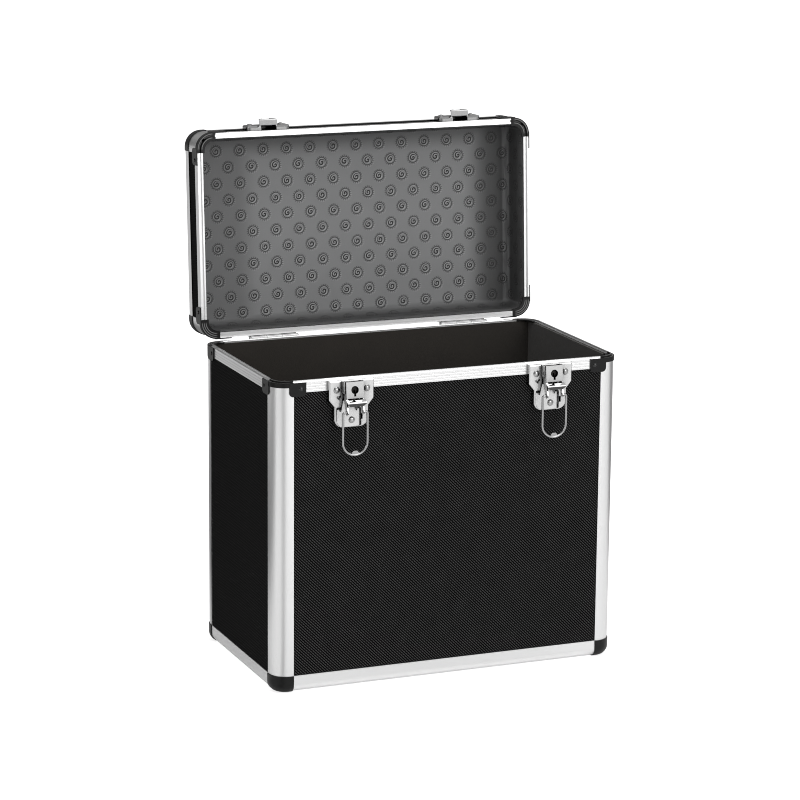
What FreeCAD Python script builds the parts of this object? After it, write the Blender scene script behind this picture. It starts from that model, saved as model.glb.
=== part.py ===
import FreeCAD, Part
import Sketcher
import math
import os

# Record carrying case: an aluminium framed box with a hinged lid and two draw latches.
# The case stands on its corner caps, its front faces -Y, and the lid is modelled at its
# open stop. The origin is the bottom centre of the whole part at rest.

# Driving dimensions, in millimetres and degrees
DIMENSIONS = (
    ("case_width", 360.0, "width over the side rails"),
    ("case_depth", 205.5, "depth over the front and back rails"),
    ("case_height", 306.2, "height from the bottom rails to the rim"),
    ("lid_height", 45.0, "height of the lid from its rim to its top rails"),
    ("rim_gap", 0.3, "gap between the two closed rims"),
    ("open_angle", 93.25, "angle of the lid at its open stop"),
    ("corner_proud", 0.8, "how far the corner caps stand out of the rails"),
    ("rail_skin", 1.0, "wall of the aluminium rails"),
    ("board", 3.5, "thickness of the laminated boards"),
    ("lining", 1.2, "thickness of the felt lining"),
    ("pad_gap", 0.3, "gap between the lid pad and its walls"),
    ("pad_thick", 2.4, "thickness of the embossed pad in the lid"),
    ("post_leg", 19.4, "width of a corner post on each face"),
    ("post_round", 16.0, "outer radius of a corner post"),
    ("post_web", 13.0, "start of the board slot in a post"),
    ("post_lip", 17.0, "inner leg of a post"),
    ("edge_leg", 17.0, "width of an edge rail on each face"),
    ("edge_round", 9.0, "outer radius of an edge rail"),
    ("edge_web", 9.0, "start of the board slot in an edge rail"),
    ("edge_lip", 13.5, "inner leg of an edge rail"),
    ("rim_face", 9.9, "height of a case rim rail on its outer face"),
    ("lid_rim_face", 9.0, "height of a lid rim rail on its outer face"),
    ("rim_cap", 4.5, "solid top of a rim rail, and height of a rim bracket"),
    ("tongue_high", 1.6, "height of the sealing tongue on the case rim"),
    ("tongue_wide", 1.6, "width of the sealing tongue"),
    ("seal_gap", 0.4, "room around the tongue in the lid groove"),
    ("bracket_reach", 31.5, "length of a rim bracket along each face"),
    ("bracket_tab", 17.0, "width of a bracket tab"),
    ("tab_drop", 13.5, "height of a bracket tab"),
    ("tab_round", 4.0, "lower corner radius of a bracket tab"),
    ("tab_proud", 1.2, "thickness of a bracket on the outer faces"),
    ("flange_wide", 7.5, "width of the bracket flange on the rim"),
    ("flange_thick", 1.4, "thickness of the bracket flange"),
    ("flange_round", 10.0, "inner radius of the bracket flange"),
    ("rivet_round", 2.2, "radius of a small rivet head"),
    ("stud_round", 3.3, "radius of a large rivet head"),
    ("stud_head", 1.5, "height of a large rivet head"),
    ("tab_rivet_in", 26.5, "bracket rivets from the corner of the case"),
    ("tab_rivet_drop", 6.0, "bracket rivets from the rim"),
    ("ring_proud", 0.8, "thickness of a rim bracket outside the posts"),
    ("tongue_end", 1.0, "free end of a side tongue at the hinge side"),
    ("rivet_head", 0.9, "height of a rivet head"),
    ("shank_round", 1.2, "radius of a rivet shank"),
    ("latch_in", 76.0, "latch centre from the side of the case"),
    ("pan_wide", 46.0, "width of the upper part of a latch pan"),
    ("pan_slim", 35.0, "width of the lower part of a latch pan"),
    ("pan_high", 46.5, "height of a latch pan"),
    ("pan_shoulder", 19.2, "drop to the start of the taper of a pan"),
    ("pan_waist", 26.0, "drop to the end of the taper of a pan"),
    ("pan_foot", 9.0, "radius of the lower corners of a pan"),
    ("pan_out", 5.0, "height of a latch pan above the rim rail"),
    ("pan_edge", 1.8, "rounding of the front edge of a pan"),
    ("sheet", 1.2, "thickness of the pressed steel parts"),
    ("pan_rivet_side", 15.5, "side rivets of a pan from its centre"),
    ("pan_rivet_drop", 9.1, "drop of the side rivets of a pan"),
    ("pan_rivet_low", 39.0, "drop of the lower rivet of a pan"),
    ("pan_slot_side", 10.2, "slot of a pan from its centre"),
    ("pan_slot_wide", 2.0, "width of the slot in a pan"),
    ("pan_slot_high", 6.0, "height of the slot in a pan"),
    ("pan_slot_drop", 33.0, "drop to the slot in a pan"),
    ("lever_wide", 17.4, "width of a latch lever"),
    ("lever_gap", 0.3, "side gap of a lever in its ears"),
    ("lever_top", 0.5, "drop to the top of a lever"),
    ("lever_face_out", 12.6, "lever face at its top, above the rim rail"),
    ("lever_low_out", 14.4, "lever face at its foot, above the rim rail"),
    ("lever_low", 17.4, "drop to the foot of the lever face"),
    ("lip_out", 20.8, "crest of the finger lip of a lever, above the rim rail"),
    ("lip_crest", 19.6, "drop to the crest of the finger lip"),
    ("lip_tuck", 2.4, "edge of the finger lip behind its crest"),
    ("lip_drop", 23.4, "drop to the edge of the finger lip"),
    ("lip_wide", 19.4, "width of the finger lip"),
    ("lip_bend", 1.6, "rounding of the crest of the finger lip"),
    ("lip_corner", 3.0, "cut of the lower corners of the finger lip"),
    ("cheek_back", 2.3, "lever cheek behind its pin"),
    ("fold_drop", 16.2, "drop to the fold slot of a lever"),
    ("fold_high", 1.4, "height of the fold slot"),
    ("pin_drop", 2.4, "drop to the lever pin"),
    ("pin_out", 8.5, "lever pin above the rim rail"),
    ("pin_round", 1.1, "radius of the lever pin"),
    ("ear_drop", 12.0, "drop to the lower end of the ears"),
    ("ear_out", 10.6, "outer edge of the ears"),
    ("running_gap", 0.05, "radial clearance of a turning fit"),
    ("keyhole_drop", 8.3, "drop to the keyhole"),
    ("keyhole_round", 3.8, "radius of the keyhole"),
    ("keyhole_slot", 2.2, "width of the keyhole slot"),
    ("keyhole_end", 14.4, "drop to the end of the keyhole slot"),
    ("barrel_round", 3.75, "radius of the lock barrel"),
    ("cup_wall", 0.9, "wall of the cup around the lock barrel"),
    ("rest_gap", 0.2, "gap between the closed lever and its pan"),
    ("barrel_long", 5.0, "length of the lock barrel"),
    ("barrel_gap", 0.3, "gap between the lock barrel and the lever face"),
    ("key_slot_wide", 1.6, "width of the slot in the barrel"),
    ("key_slot_deep", 3.2, "depth of the slot in the barrel"),
    ("bail_out", 14.5, "bail pivot above the rim rail"),
    ("bail_drop", 29.5, "drop to the bail pivot"),
    ("bail_wire", 1.2, "radius of the bail wire"),
    ("bail_half", 12.5, "bail leg from the latch centre"),
    ("bail_low", 71.2, "drop to the middle of the wire at the foot of the bail"),
    ("bail_bend", 2.2, "bend radius at the top of a bail leg"),
    ("bail_hook", 5.4, "length of the bail ends into the lever"),
    ("bail_lug_wide", 7.0, "width of the lug at the foot of the bail"),
    ("bail_lug_high", 4.2, "height of the lug at the foot of the bail"),
    ("bail_lug_cut", 1.8, "cut of the corners of the lug"),
    ("cheek_round", 2.9, "metal around the bail pivot"),
    ("catch_wide", 46.0, "width of a lid catch plate"),
    ("catch_low", 0.8, "lower edge of a catch plate above the lid rim"),
    ("catch_high", 18.2, "height of a catch plate"),
    ("catch_round", 5.0, "corner radius of a catch plate"),
    ("catch_out", 5.0, "height of a catch plate above the rim rail"),
    ("catch_edge", 1.4, "rounding of the front edge of a catch plate"),
    ("slope_out", 3.0, "rim edge of a catch plate above the rim rail"),
    ("slope_high", 2.6, "height of the slope on the rim side of a catch plate"),
    ("nose_wide", 18.7, "width of the hook of a catch"),
    ("nose_low", 2.4, "lower side of the hook above the lid rim"),
    ("nose_high", 9.3, "seat of the bail above the lid rim"),
    ("nose_out", 11.2, "reach of the hook above the rim rail"),
    ("nose_under", 5.3, "underside of the hook above the rim rail"),
    ("seat_round", 6.8, "radius of the upper corners of the bail seat"),
    ("lip_round", 8.5, "radius of the upper corners of the hook lip"),
    ("nose_edge", 0.8, "rounding of the front edge of the hook"),
    ("nose_lip", 12.0, "upper side of the hook lip above the lid rim"),
    ("nose_lip_in", 9.9, "inner face of the hook lip above the rim rail"),
    ("notch_high", 6.6, "foot of the notch for the bail lug above the lid rim"),
    ("notch_gap", 0.5, "side room of the bail lug in the notch"),
    ("notch_out", 7.0, "inner side of the notch above the rim rail"),
    ("catch_rivet_side", 16.4, "rivets of a catch plate from its centre"),
    ("catch_rivet_rise", 12.6, "rivets of a catch plate above the lid rim"),
    ("hinge_in", 76.0, "hinge centre from the side of the case"),
    ("hinge_wide", 50.0, "width of a hinge"),
    ("hinge_back", 3.4, "hinge axis behind the back rails"),
    ("hinge_drop", 1.5, "hinge axis below the rim"),
    ("knuckle_round", 3.0, "outer radius of a hinge knuckle"),
    ("hinge_pin", 1.5, "radius of a hinge pin"),
    ("hinge_sheet", 1.5, "thickness of a hinge leaf"),
    ("leaf_high", 30.0, "height of a hinge leaf"),
    ("leaf_gap", 0.2, "gap between a lid leaf and the rim plane"),
    ("knuckle_gap", 0.3, "gap between neighbouring knuckles"),
    ("pin_cap", 2.6, "radius of the head of a hinge pin"),
    ("pin_cap_long", 1.0, "length of the head of a hinge pin"),
    ("leaf_rivet_side", 17.0, "hinge rivets from the hinge centre"),
    ("leaf_rivet_near", 7.6, "first hinge rivets from the rim"),
    ("leaf_rivet_far", 22.0, "second hinge rivets from the rim"),
    ("stop_wide", 4.5, "width of a lid stop on the case leaf"),
    ("stop_near", 7.0, "front of a lid stop behind the hinge axis"),
    ("stop_far", 9.0, "back of a lid stop behind the hinge axis"),
    ("stop_gap", 0.2, "gap between a lid stop and the open lid leaf"),
    ("handle_span", 64.0, "handle pivot from the middle of the lid"),
    ("handle_rise", 12.0, "handle pivot above the lid board"),
    ("handle_throw", 34.0, "grip axis from the handle pivot"),
    ("grip_round", 9.0, "radius of the grip"),
    ("grip_end_gap", 8.0, "gap between the grip and a handle arm"),
    ("grip_groove", 0.8, "depth of the grooves in the grip"),
    ("grip_groove_long", 2.4, "width of a groove in the grip"),
    ("grip_pitch", 9.0, "pitch of the grooves in the grip"),
    ("arm_thick", 4.0, "thickness of a handle arm"),
    ("arm_high", 9.0, "height of a handle arm"),
    ("handle_core", 2.4, "radius of the steel core of the grip"),
    ("plate_long", 40.0, "length of a handle plate along the lid depth"),
    ("plate_wide", 24.0, "width of a handle plate"),
    ("plate_thick", 1.8, "thickness of a handle plate"),
    ("plate_round", 5.0, "corner radius of a handle plate"),
    ("lug_thick", 2.2, "thickness of the lugs of a handle plate"),
    ("lug_wide", 12.0, "width of the lugs of a handle plate"),
    ("lug_gap", 0.4, "side gap of an arm between its lugs"),
    ("handle_pin", 2.0, "radius of the handle pins"),
    ("plate_rivet_far", 14.5, "handle plate rivets from the pivot"),
    ("plate_rivet_side", 6.5, "handle plate rivets from its centre line"),
    ("overrun", 2.0, "how far a cutting shape runs past the metal"),
)

doc = FreeCAD.newDocument("RecordCase")
sheet = doc.addObject("Spreadsheet::Sheet", "Sizes")


class Size:
    """A length with its value and the sheet expression that gives it."""

    def __init__(self, text, value):
        self.text = text
        self.value = value

    def __add__(self, other):
        other = as_size(other)
        return Size(f"({self.text} + {other.text})", self.value + other.value)

    def __sub__(self, other):
        other = as_size(other)
        return Size(f"({self.text} - {other.text})", self.value - other.value)

    def __mul__(self, other):
        other = as_size(other)
        return Size(f"({self.text} * {other.text})", self.value * other.value)

    def __truediv__(self, other):
        other = as_size(other)
        return Size(f"({self.text} / {other.text})", self.value / other.value)

    def __neg__(self):
        return self * -1


def as_size(value):
    return value if isinstance(value, Size) else Size(str(value), value)


class Sheet:
    """The aliases of the sheet as attributes."""


def fill_sheet():
    sizes = Sheet()
    for row, (alias, value, meaning) in enumerate(DIMENSIONS, 1):
        sheet.set(f"A{row}", meaning)
        sheet.set(f"B{row}", str(value))
        sheet.setAlias(f"B{row}", alias)
    doc.recompute()
    for alias, _, _ in DIMENSIONS:
        setattr(sizes, alias, Size(f"Sizes.{alias}", float(getattr(sheet, alias))))
    return sizes


s = fill_sheet()
ZERO = Size("0", 0.0)
SIDES = (-1, 1)

# Places that many pieces share
half_width = s.case_width / 2
half_depth = s.case_depth / 2
latch_offset = half_width - s.latch_in
hinge_offset = half_width - s.hinge_in
base = s.corner_proud
rim = base + s.case_height
lid_rim = rim + s.rim_gap
lid_top = lid_rim + s.lid_height
rail_wide = s.rail_skin * 2 + s.board
inner = rail_wide
tongue_inset = (rail_wide - s.tongue_wide) / 2
axis_y = half_depth + s.hinge_back
axis_z = rim - s.hinge_drop

nodes = []


# Basic shapes
def set_base(item, x, y, z):
    item.setExpression("Placement.Base.x", x.text)
    item.setExpression("Placement.Base.y", y.text)
    item.setExpression("Placement.Base.z", z.text)


def ordered(low, high):
    return (low, high) if low.value <= high.value else (high, low)


def box(label, x_pair, y_pair, z_pair):
    """A block between two values on each axis, in either order."""
    x_low, x_high = ordered(*x_pair)
    y_low, y_high = ordered(*y_pair)
    z_low, z_high = ordered(*z_pair)
    item = doc.addObject("Part::Box", label)
    item.setExpression("Length", (x_high - x_low).text)
    item.setExpression("Width", (y_high - y_low).text)
    item.setExpression("Height", (z_high - z_low).text)
    set_base(item, x_low, y_low, z_low)
    return item


TURN_TO = {
    "x": FreeCAD.Rotation(FreeCAD.Vector(0, 1, 0), 90),
    "y": FreeCAD.Rotation(FreeCAD.Vector(1, 0, 0), -90),
    "z": FreeCAD.Rotation(),
}


def rod(label, along, x, y, z, radius, length):
    """A cylinder that starts at a point and runs along an axis."""
    item = doc.addObject("Part::Cylinder", label)
    item.setExpression("Radius", radius.text)
    item.setExpression("Height", length.text)
    item.Placement.Rotation = TURN_TO[along]
    set_base(item, x, y, z)
    return item


def cut(label, base_item, tools):
    tool = tools[0] if len(tools) == 1 else group(label + "_tools", tools)
    item = doc.addObject("Part::Cut", label)
    item.Base = base_item
    item.Tool = tool
    return item


def fuse(label, items):
    item = doc.addObject("Part::MultiFuse", label)
    item.Shapes = items
    item.Refine = True
    return item


def group(label, items):
    item = doc.addObject("Part::Compound", label)
    item.Links = items
    return item


# Extruded outlines
PLANE_OF = {"x": "YZ_Plane", "y": "XZ_Plane", "z": "XY_Plane"}


def extrude(label, along, corners, low, high):
    """A body padded from an outline whose corners are sizes."""
    body = doc.addObject("PartDesign::Body", label)
    plane = [f for f in body.Origin.OriginFeatures if f.Role == PLANE_OF[along]][0]
    sketch = body.newObject("Sketcher::SketchObject", label + "_outline")
    sketch.AttachmentSupport = [(plane, "")]
    sketch.MapMode = "FlatFace"
    start = -high if along == "y" else low
    sketch.setExpression("AttachmentOffset.Base.z", start.text)
    points = [FreeCAD.Vector(a.value, b.value, 0) for a, b in corners]
    for index, point in enumerate(points):
        sketch.addGeometry(Part.LineSegment(point, points[(index + 1) % len(points)]))
    for index, (a, b) in enumerate(corners):
        following = (index + 1) % len(points)
        sketch.addConstraint(Sketcher.Constraint("Coincident", index, 2, following, 1))
    for index, (a, b) in enumerate(corners):
        place = sketch.addConstraint(Sketcher.Constraint("DistanceX", index, 1, a.value))
        sketch.setExpression(f"Constraints[{place}]", a.text)
        place = sketch.addConstraint(Sketcher.Constraint("DistanceY", index, 1, b.value))
        sketch.setExpression(f"Constraints[{place}]", b.text)
    pad = body.newObject("PartDesign::Pad", label + "_pad")
    pad.Profile = sketch
    pad.setExpression("Length", (high - low).text)
    doc.recompute()
    return body


AXES_ACROSS = {"x": (1, 2), "y": (0, 2), "z": (0, 1)}
AXIS_INDEX = {"x": 0, "y": 1, "z": 2}
TOUCH = 1e-4


def edges_along(shape, along, spots):
    """Names of the edges that run along an axis through the given places."""
    first, second = AXES_ACROSS[along]
    names = []
    for number, edge in enumerate(shape.Edges, 1):
        ends = [v.Point for v in edge.Vertexes]
        if len(ends) != 2:
            continue
        for a, b in spots:
            near = [abs(p[first] - a.value) < TOUCH and abs(p[second] - b.value) < TOUCH for p in ends]
            if all(near):
                names.append(f"Edge{number}")
    return names


def edges_at(shape, axis, value):
    """Names of the edges that lie wholly at one value of an axis."""
    low, high = {"x": ("XMin", "XMax"), "y": ("YMin", "YMax"), "z": ("ZMin", "ZMax")}[axis]
    names = []
    for number, edge in enumerate(shape.Edges, 1):
        bound = edge.BoundBox
        if abs(getattr(bound, low) - value) < TOUCH and abs(getattr(bound, high) - value) < TOUCH:
            names.append(f"Edge{number}")
    return names


def round_off(body, names, radius):
    """A fillet on the named edges of the last feature of a body."""
    fillet = body.newObject("PartDesign::Fillet", body.Name + "_round")
    fillet.Base = (body.Group[-2], names)
    fillet.setExpression("Radius", radius.text)
    doc.recompute()
    return body


# Placing: each node is a compound with the pose of the body that it belongs to
POSES = {}


def node(label, items, body):
    item = group(label, items)
    item.Label = label
    item.Placement = POSES[body]
    nodes.append(item)
    return item


def pose_of_lid():
    axis = FreeCAD.Vector(0, axis_y.value, axis_z.value)
    turn = FreeCAD.Rotation(FreeCAD.Vector(1, 0, 0), -s.open_angle.value)
    return FreeCAD.Placement(FreeCAD.Vector(0, 0, 0), turn, axis)


def pose_of_handle():
    """The handle hangs plumb from its pins, so it leans away from the lid by the lid's own lean."""
    seat, pivot = handle_place()
    centre = FreeCAD.Vector(0, 0, pivot.value)
    lean = FreeCAD.Rotation(FreeCAD.Vector(1, 0, 0), s.open_angle.value - 90)
    return pose_of_lid().multiply(FreeCAD.Placement(FreeCAD.Vector(0, 0, 0), lean, centre))


def handle_place():
    seat = lid_top - s.rail_skin
    return seat, seat + s.handle_rise


POSES["case"] = FreeCAD.Placement()
POSES["lid"] = pose_of_lid()
POSES["handle"] = pose_of_handle()

SHELLS = {
    # name: direction from the rim to the closed end, rim, closed end, face of a rim rail
    "case": (-1, rim, base, s.rim_face),
    "lid": (1, lid_rim, lid_top, s.lid_rim_face),
}
CORNERS = (("front_left", -1, -1), ("front_right", 1, -1), ("back_left", -1, 1), ("back_right", 1, 1))


# Aluminium rails
def corner_outline(leg, web, lip):
    """Half an angle rail's section, from the leg's tip to the inner corner, mirrored for the rest."""
    slot_in = s.rail_skin
    slot_out = s.rail_skin + s.board
    return (
        (leg, ZERO),
        (leg, slot_in),
        (web, slot_in),
        (web, slot_out),
        (lip, slot_out),
        (lip, inner),
    )


def rail_corners(leg, web, lip, origin_a, origin_b, sign_a, sign_b):
    """The whole section of an angle rail with board slots, at a corner of the case."""
    half = corner_outline(leg, web, lip)
    local = [(ZERO, ZERO)] + list(half) + [(inner, inner)] + [(b, a) for a, b in reversed(half)]
    return [(origin_a + a * sign_a, origin_b + b * sign_b) for a, b in local]


def make_post(label, shell, x_sign, y_sign):
    away, edge, closed_end, rim_high = SHELLS[shell]
    low, high = ordered(edge + s.rim_cap * away, closed_end - s.edge_leg * away)
    x_face = half_width * x_sign
    y_face = half_depth * y_sign
    corners = rail_corners(s.post_leg, s.post_web, s.post_lip, x_face, y_face, -x_sign, -y_sign)
    post = extrude(label + "_profile", "z", corners, low, high)
    names = edges_along(post.Shape, "z", [(x_face, y_face)])
    return round_off(post, names, s.post_round)


def make_edge_rail(label, shell, along, sign):
    """A rail that joins a side board to the bottom or top board."""
    away, edge, closed_end, rim_high = SHELLS[shell]
    face = (half_depth if along == "x" else half_width) * sign
    reach = (half_width if along == "x" else half_depth) - s.post_leg
    corners = rail_corners(s.edge_leg, s.edge_web, s.edge_lip, face, closed_end, -sign, -away)
    rail = extrude(label + "_profile", along, corners, -reach, reach)
    names = edges_along(rail.Shape, along, [(face, closed_end)])
    return round_off(rail, names, s.edge_round)


def make_rim_rail(label, shell, along, sign, sealed):
    """A rail over the edge of a side board, with a tongue on the case and a groove in the lid."""
    away, edge, closed_end, rim_high = SHELLS[shell]
    face = (half_depth if along == "x" else half_width) * sign
    reach = (half_width if along == "x" else half_depth) - s.post_leg
    slot_in = s.rail_skin
    slot_out = s.rail_skin + s.board
    section = [
        (ZERO, ZERO),
        (ZERO, rim_high),
        (slot_in, rim_high),
        (slot_in, s.rim_cap),
        (slot_out, s.rim_cap),
        (slot_out, rim_high),
        (rail_wide, rim_high),
        (rail_wide, ZERO),
    ]
    if sealed and shell == "case":
        near = tongue_inset
        far = tongue_inset + s.tongue_wide
        section += [(far, ZERO), (far, -s.tongue_high), (near, -s.tongue_high), (near, ZERO)]
    if sealed and shell == "lid":
        near = tongue_inset - s.seal_gap
        far = tongue_inset + s.tongue_wide + s.seal_gap
        deep = s.tongue_high + s.seal_gap
        section += [(far, ZERO), (far, deep), (near, deep), (near, ZERO)]
    corners = [(face - a * sign, edge + b * away) for a, b in section]
    rail = extrude(label + "_profile", along, corners, -reach, reach)
    if sealed and shell == "case" and along == "y":
        free = box(
            label + "_free_end", (face, face - rail_wide * sign),
            (reach - s.tongue_end, reach + s.overrun), (edge, edge + s.tongue_high + s.overrun),
        )
        rail = cut(label + "_trimmed", rail, [free])
    return rail


def make_frame(shell, edge_word):
    """The posts, edge rails and rim rails of the case or the lid."""
    posts = [(f"{shell}_post_{word}", x_sign, y_sign) for word, x_sign, y_sign in CORNERS]
    if shell == "case":
        for label, x_sign, y_sign in posts:
            node(label, [make_post(label, shell, x_sign, y_sign)], shell)
    else:
        node("lid_corner_posts", [make_post(label, shell, x, y) for label, x, y in posts], shell)
    for word, along, sign in (("front", "x", -1), ("back", "x", 1), ("left", "y", -1), ("right", "y", 1)):
        label = f"{shell}_{edge_word}_rail_{word}"
        node(label, [make_edge_rail(label, shell, along, sign)], shell)
        label = f"{shell}_rim_rail_{word}"
        node(label, [make_rim_rail(label, shell, along, sign, word != "back")], shell)


# Boards
def make_boards(shell, end_word):
    """The four side boards and the bottom or top board, held in the rail slots."""
    away, edge, closed_end, rim_high = SHELLS[shell]
    near = s.rail_skin
    far = s.rail_skin + s.board
    z_pair = (edge + s.rim_cap * away, closed_end - s.edge_web * away)
    x_pair = (s.post_web - half_width, half_width - s.post_web)
    y_pair = (s.post_web - half_depth, half_depth - s.post_web)
    for word, sign in (("front", -1), ("back", 1)):
        label = f"{shell}_{word}_board"
        depth = ((half_depth - near) * sign, (half_depth - far) * sign)
        node(label, [box(label + "_block", x_pair, depth, z_pair)], shell)
    for word, sign in (("left", -1), ("right", 1)):
        label = f"{shell}_{word}_board"
        depth = ((half_width - near) * sign, (half_width - far) * sign)
        node(label, [box(label + "_block", depth, y_pair, z_pair)], shell)
    label = f"{shell}_{end_word}_board"
    x_pair = (s.edge_web - half_width, half_width - s.edge_web)
    y_pair = (s.edge_web - half_depth, half_depth - s.edge_web)
    z_pair = (closed_end - near * away, closed_end - far * away)
    node(label, [box(label + "_block", x_pair, y_pair, z_pair)], shell)


# Corner caps: rounded three way corners that close the ends of the rails
def make_corner_cap(label, shell, x_sign, y_sign):
    away, edge, closed_end, rim_high = SHELLS[shell]
    x_face = half_width * x_sign
    y_face = half_depth * y_sign
    x_out = x_face + s.corner_proud * x_sign
    y_out = y_face + s.corner_proud * y_sign
    z_out = closed_end + s.corner_proud * away
    x_in = x_face - s.post_leg * x_sign
    y_in = y_face - s.post_leg * y_sign
    z_in = closed_end - s.edge_leg * away
    corners = [(x_out, y_out), (x_in, y_out), (x_in, y_in), (x_out, y_in)]
    cap = extrude(label + "_block", "z", corners, *ordered(z_out, z_in))
    names = edges_along(cap.Shape, "z", [(x_out, y_out)])
    cap = round_off(cap, names, s.post_round + s.corner_proud)
    names = outer_end_edges(cap.Shape, z_out, x_in, y_in)
    cap = round_off(cap, names, s.edge_round + s.corner_proud)
    return cut(label, cap, corner_room(label, shell, x_sign, y_sign))


def outer_end_edges(shape, z_out, x_in, y_in):
    """The outer edges of a cap at its closed end: two straight edges and the arc between them."""
    names = []
    for number, edge in enumerate(shape.Edges, 1):
        middle = edge.BoundBox.Center
        flat = edge.BoundBox.ZLength < TOUCH and abs(middle.z - z_out.value) < TOUCH
        inside = abs(middle.x - x_in.value) < TOUCH or abs(middle.y - y_in.value) < TOUCH
        if flat and not inside:
            names.append(f"Edge{number}")
    return names


def corner_room(label, shell, x_sign, y_sign):
    """The room that a corner cap leaves for the boards and the inside of the case."""
    away, edge, closed_end, rim_high = SHELLS[shell]
    near = s.rail_skin
    far = s.rail_skin + s.board
    x_face = half_width * x_sign
    y_face = half_depth * y_sign
    x_end = x_face - (s.post_leg + s.overrun) * x_sign
    y_end = y_face - (s.post_leg + s.overrun) * y_sign
    z_end = closed_end - (s.edge_leg + s.overrun) * away
    z_slot = (closed_end - s.edge_web * away, z_end)
    front = box(
        label + "_front_room",
        (x_face - s.post_web * x_sign, x_end),
        (y_face - near * y_sign, y_face - far * y_sign),
        z_slot,
    )
    side = box(
        label + "_side_room",
        (x_face - near * x_sign, x_face - far * x_sign),
        (y_face - s.post_web * y_sign, y_end),
        z_slot,
    )
    flat = box(
        label + "_end_room",
        (x_face - s.edge_web * x_sign, x_end),
        (y_face - s.edge_web * y_sign, y_end),
        (closed_end - near * away, closed_end - far * away),
    )
    inside = box(
        label + "_inside",
        (x_face - inner * x_sign, x_end),
        (y_face - inner * y_sign, y_end),
        (closed_end - inner * away, z_end),
    )
    z_lip = (closed_end - s.edge_lip * away, z_end)
    front_lip = box(
        label + "_front_lip_room",
        (x_face - s.post_lip * x_sign, x_end),
        (y_face - near * y_sign, y_face - (inner + s.overrun) * y_sign),
        z_lip,
    )
    side_lip = box(
        label + "_side_lip_room",
        (x_face - near * x_sign, x_face - (inner + s.overrun) * x_sign),
        (y_face - s.post_lip * y_sign, y_end),
        z_lip,
    )
    flat_lip = box(
        label + "_end_lip_room",
        (x_face - s.edge_lip * x_sign, x_end),
        (y_face - s.edge_lip * y_sign, y_end),
        (closed_end - near * away, closed_end - (inner + s.overrun) * away),
    )
    return [front, side, flat, inside, front_lip, side_lip, flat_lip]


# Rim brackets: black corners on the rim, with a riveted tab on each face
def make_rim_bracket(label, shell, x_sign, y_sign):
    away, edge, closed_end, rim_high = SHELLS[shell]
    x_face = half_width * x_sign
    y_face = half_depth * y_sign
    z_bar = (edge, edge + s.rim_cap * away)
    z_flange = (edge, edge + s.flange_thick * away)
    bar = corner_ring(label + "_bar", x_sign, y_sign, -s.ring_proud, rail_wide, z_bar, None)
    flange = corner_ring(label + "_flange", x_sign, y_sign, ZERO, s.flange_wide, z_flange, s.flange_round)
    start = s.bracket_reach - s.bracket_tab
    z_low = edge + s.tab_drop * away
    parts = [bar, flange]
    for along, face, across, sign_a, sign_b in (
        ("y", y_face, x_face, y_sign, x_sign),
        ("x", x_face, y_face, x_sign, y_sign),
    ):
        near = across - start * sign_b
        far = across - s.bracket_reach * sign_b
        corners = [(near, edge), (far, edge), (far, z_low), (near, z_low)]
        tab = extrude(f"{label}_tab_{along}", along, corners, *ordered(face, face + s.tab_proud * sign_a))
        names = edges_along(tab.Shape, along, [(near, z_low), (far, z_low)])
        parts.append(round_off(tab, names, s.tab_round))
    whole = fuse(label + "_whole", parts)
    tools = [rivet_hole(f"{label}_hole_{n}", spot) for n, spot in enumerate(bracket_rivets(shell, x_sign, y_sign))]
    if y_sign < 0 and shell == "lid":
        near = tongue_inset - s.seal_gap
        far = tongue_inset + s.tongue_wide + s.seal_gap
        z_groove = (edge, edge + s.tongue_high + s.seal_gap)
        tools.append(corner_ring(label + "_groove", x_sign, y_sign, near, far, z_groove, s.post_round - far))
    whole = cut(label + "_drilled", whole, tools)
    if y_sign < 0 and shell == "case":
        near = tongue_inset
        far = tongue_inset + s.tongue_wide
        z_ridge = (edge, edge + s.tongue_high)
        ridge = corner_ring(label + "_ridge", x_sign, y_sign, near, far, z_ridge, s.post_round - far)
        whole = fuse(label, [whole, ridge])
    return whole


def corner_ring(label, x_sign, y_sign, near, far, z_pair, inner_round):
    """An angle around a corner of the rim, between two insets, rounded outside and maybe inside."""
    x_out = (half_width - near) * x_sign
    y_out = (half_depth - near) * y_sign
    x_mid = (half_width - far) * x_sign
    y_mid = (half_depth - far) * y_sign
    x_in = (half_width - s.post_leg) * x_sign
    y_in = (half_depth - s.post_leg) * y_sign
    corners = [(x_out, y_out), (x_in, y_out), (x_in, y_mid), (x_mid, y_mid), (x_mid, y_in), (x_out, y_in)]
    ring = extrude(label, "z", corners, *ordered(*z_pair))
    names = edges_along(ring.Shape, "z", [(x_out, y_out)])
    ring = round_off(ring, names, s.post_round - near)
    if inner_round is None:
        return ring
    names = edges_along(ring.Shape, "z", [(x_mid, y_mid)])
    return round_off(ring, names, inner_round)


# Rivets: a place, the outward direction, and how far the shank goes in
def bracket_rivets(shell, x_sign, y_sign):
    away, edge, closed_end, rim_high = SHELLS[shell]
    z_place = edge + s.tab_rivet_drop * away
    x_place = (half_width - s.tab_rivet_in) * x_sign
    y_place = (half_depth - s.tab_rivet_in) * y_sign
    front = ("y", y_sign, x_place, (half_depth + s.tab_proud) * y_sign, z_place, s.tab_proud)
    side = ("x", x_sign, (half_width + s.tab_proud) * x_sign, y_place, z_place, s.tab_proud)
    return [front, side]


def stretch(along, sign, x, y, z, before, after):
    """Start point and length of a rod that runs from before the face to after it."""
    length = before + after
    shift = -before if sign > 0 else -after
    if along == "x":
        return x + shift, y, z, length
    if along == "y":
        return x, y + shift, z, length
    return x, y, z + shift, length


def rivet_hole(label, spot):
    along, sign, x, y, z, depth = spot
    x, y, z, length = stretch(along, sign, x, y, z, depth + s.overrun, s.overrun)
    return rod(label, along, x, y, z, s.shank_round, length)


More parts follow.
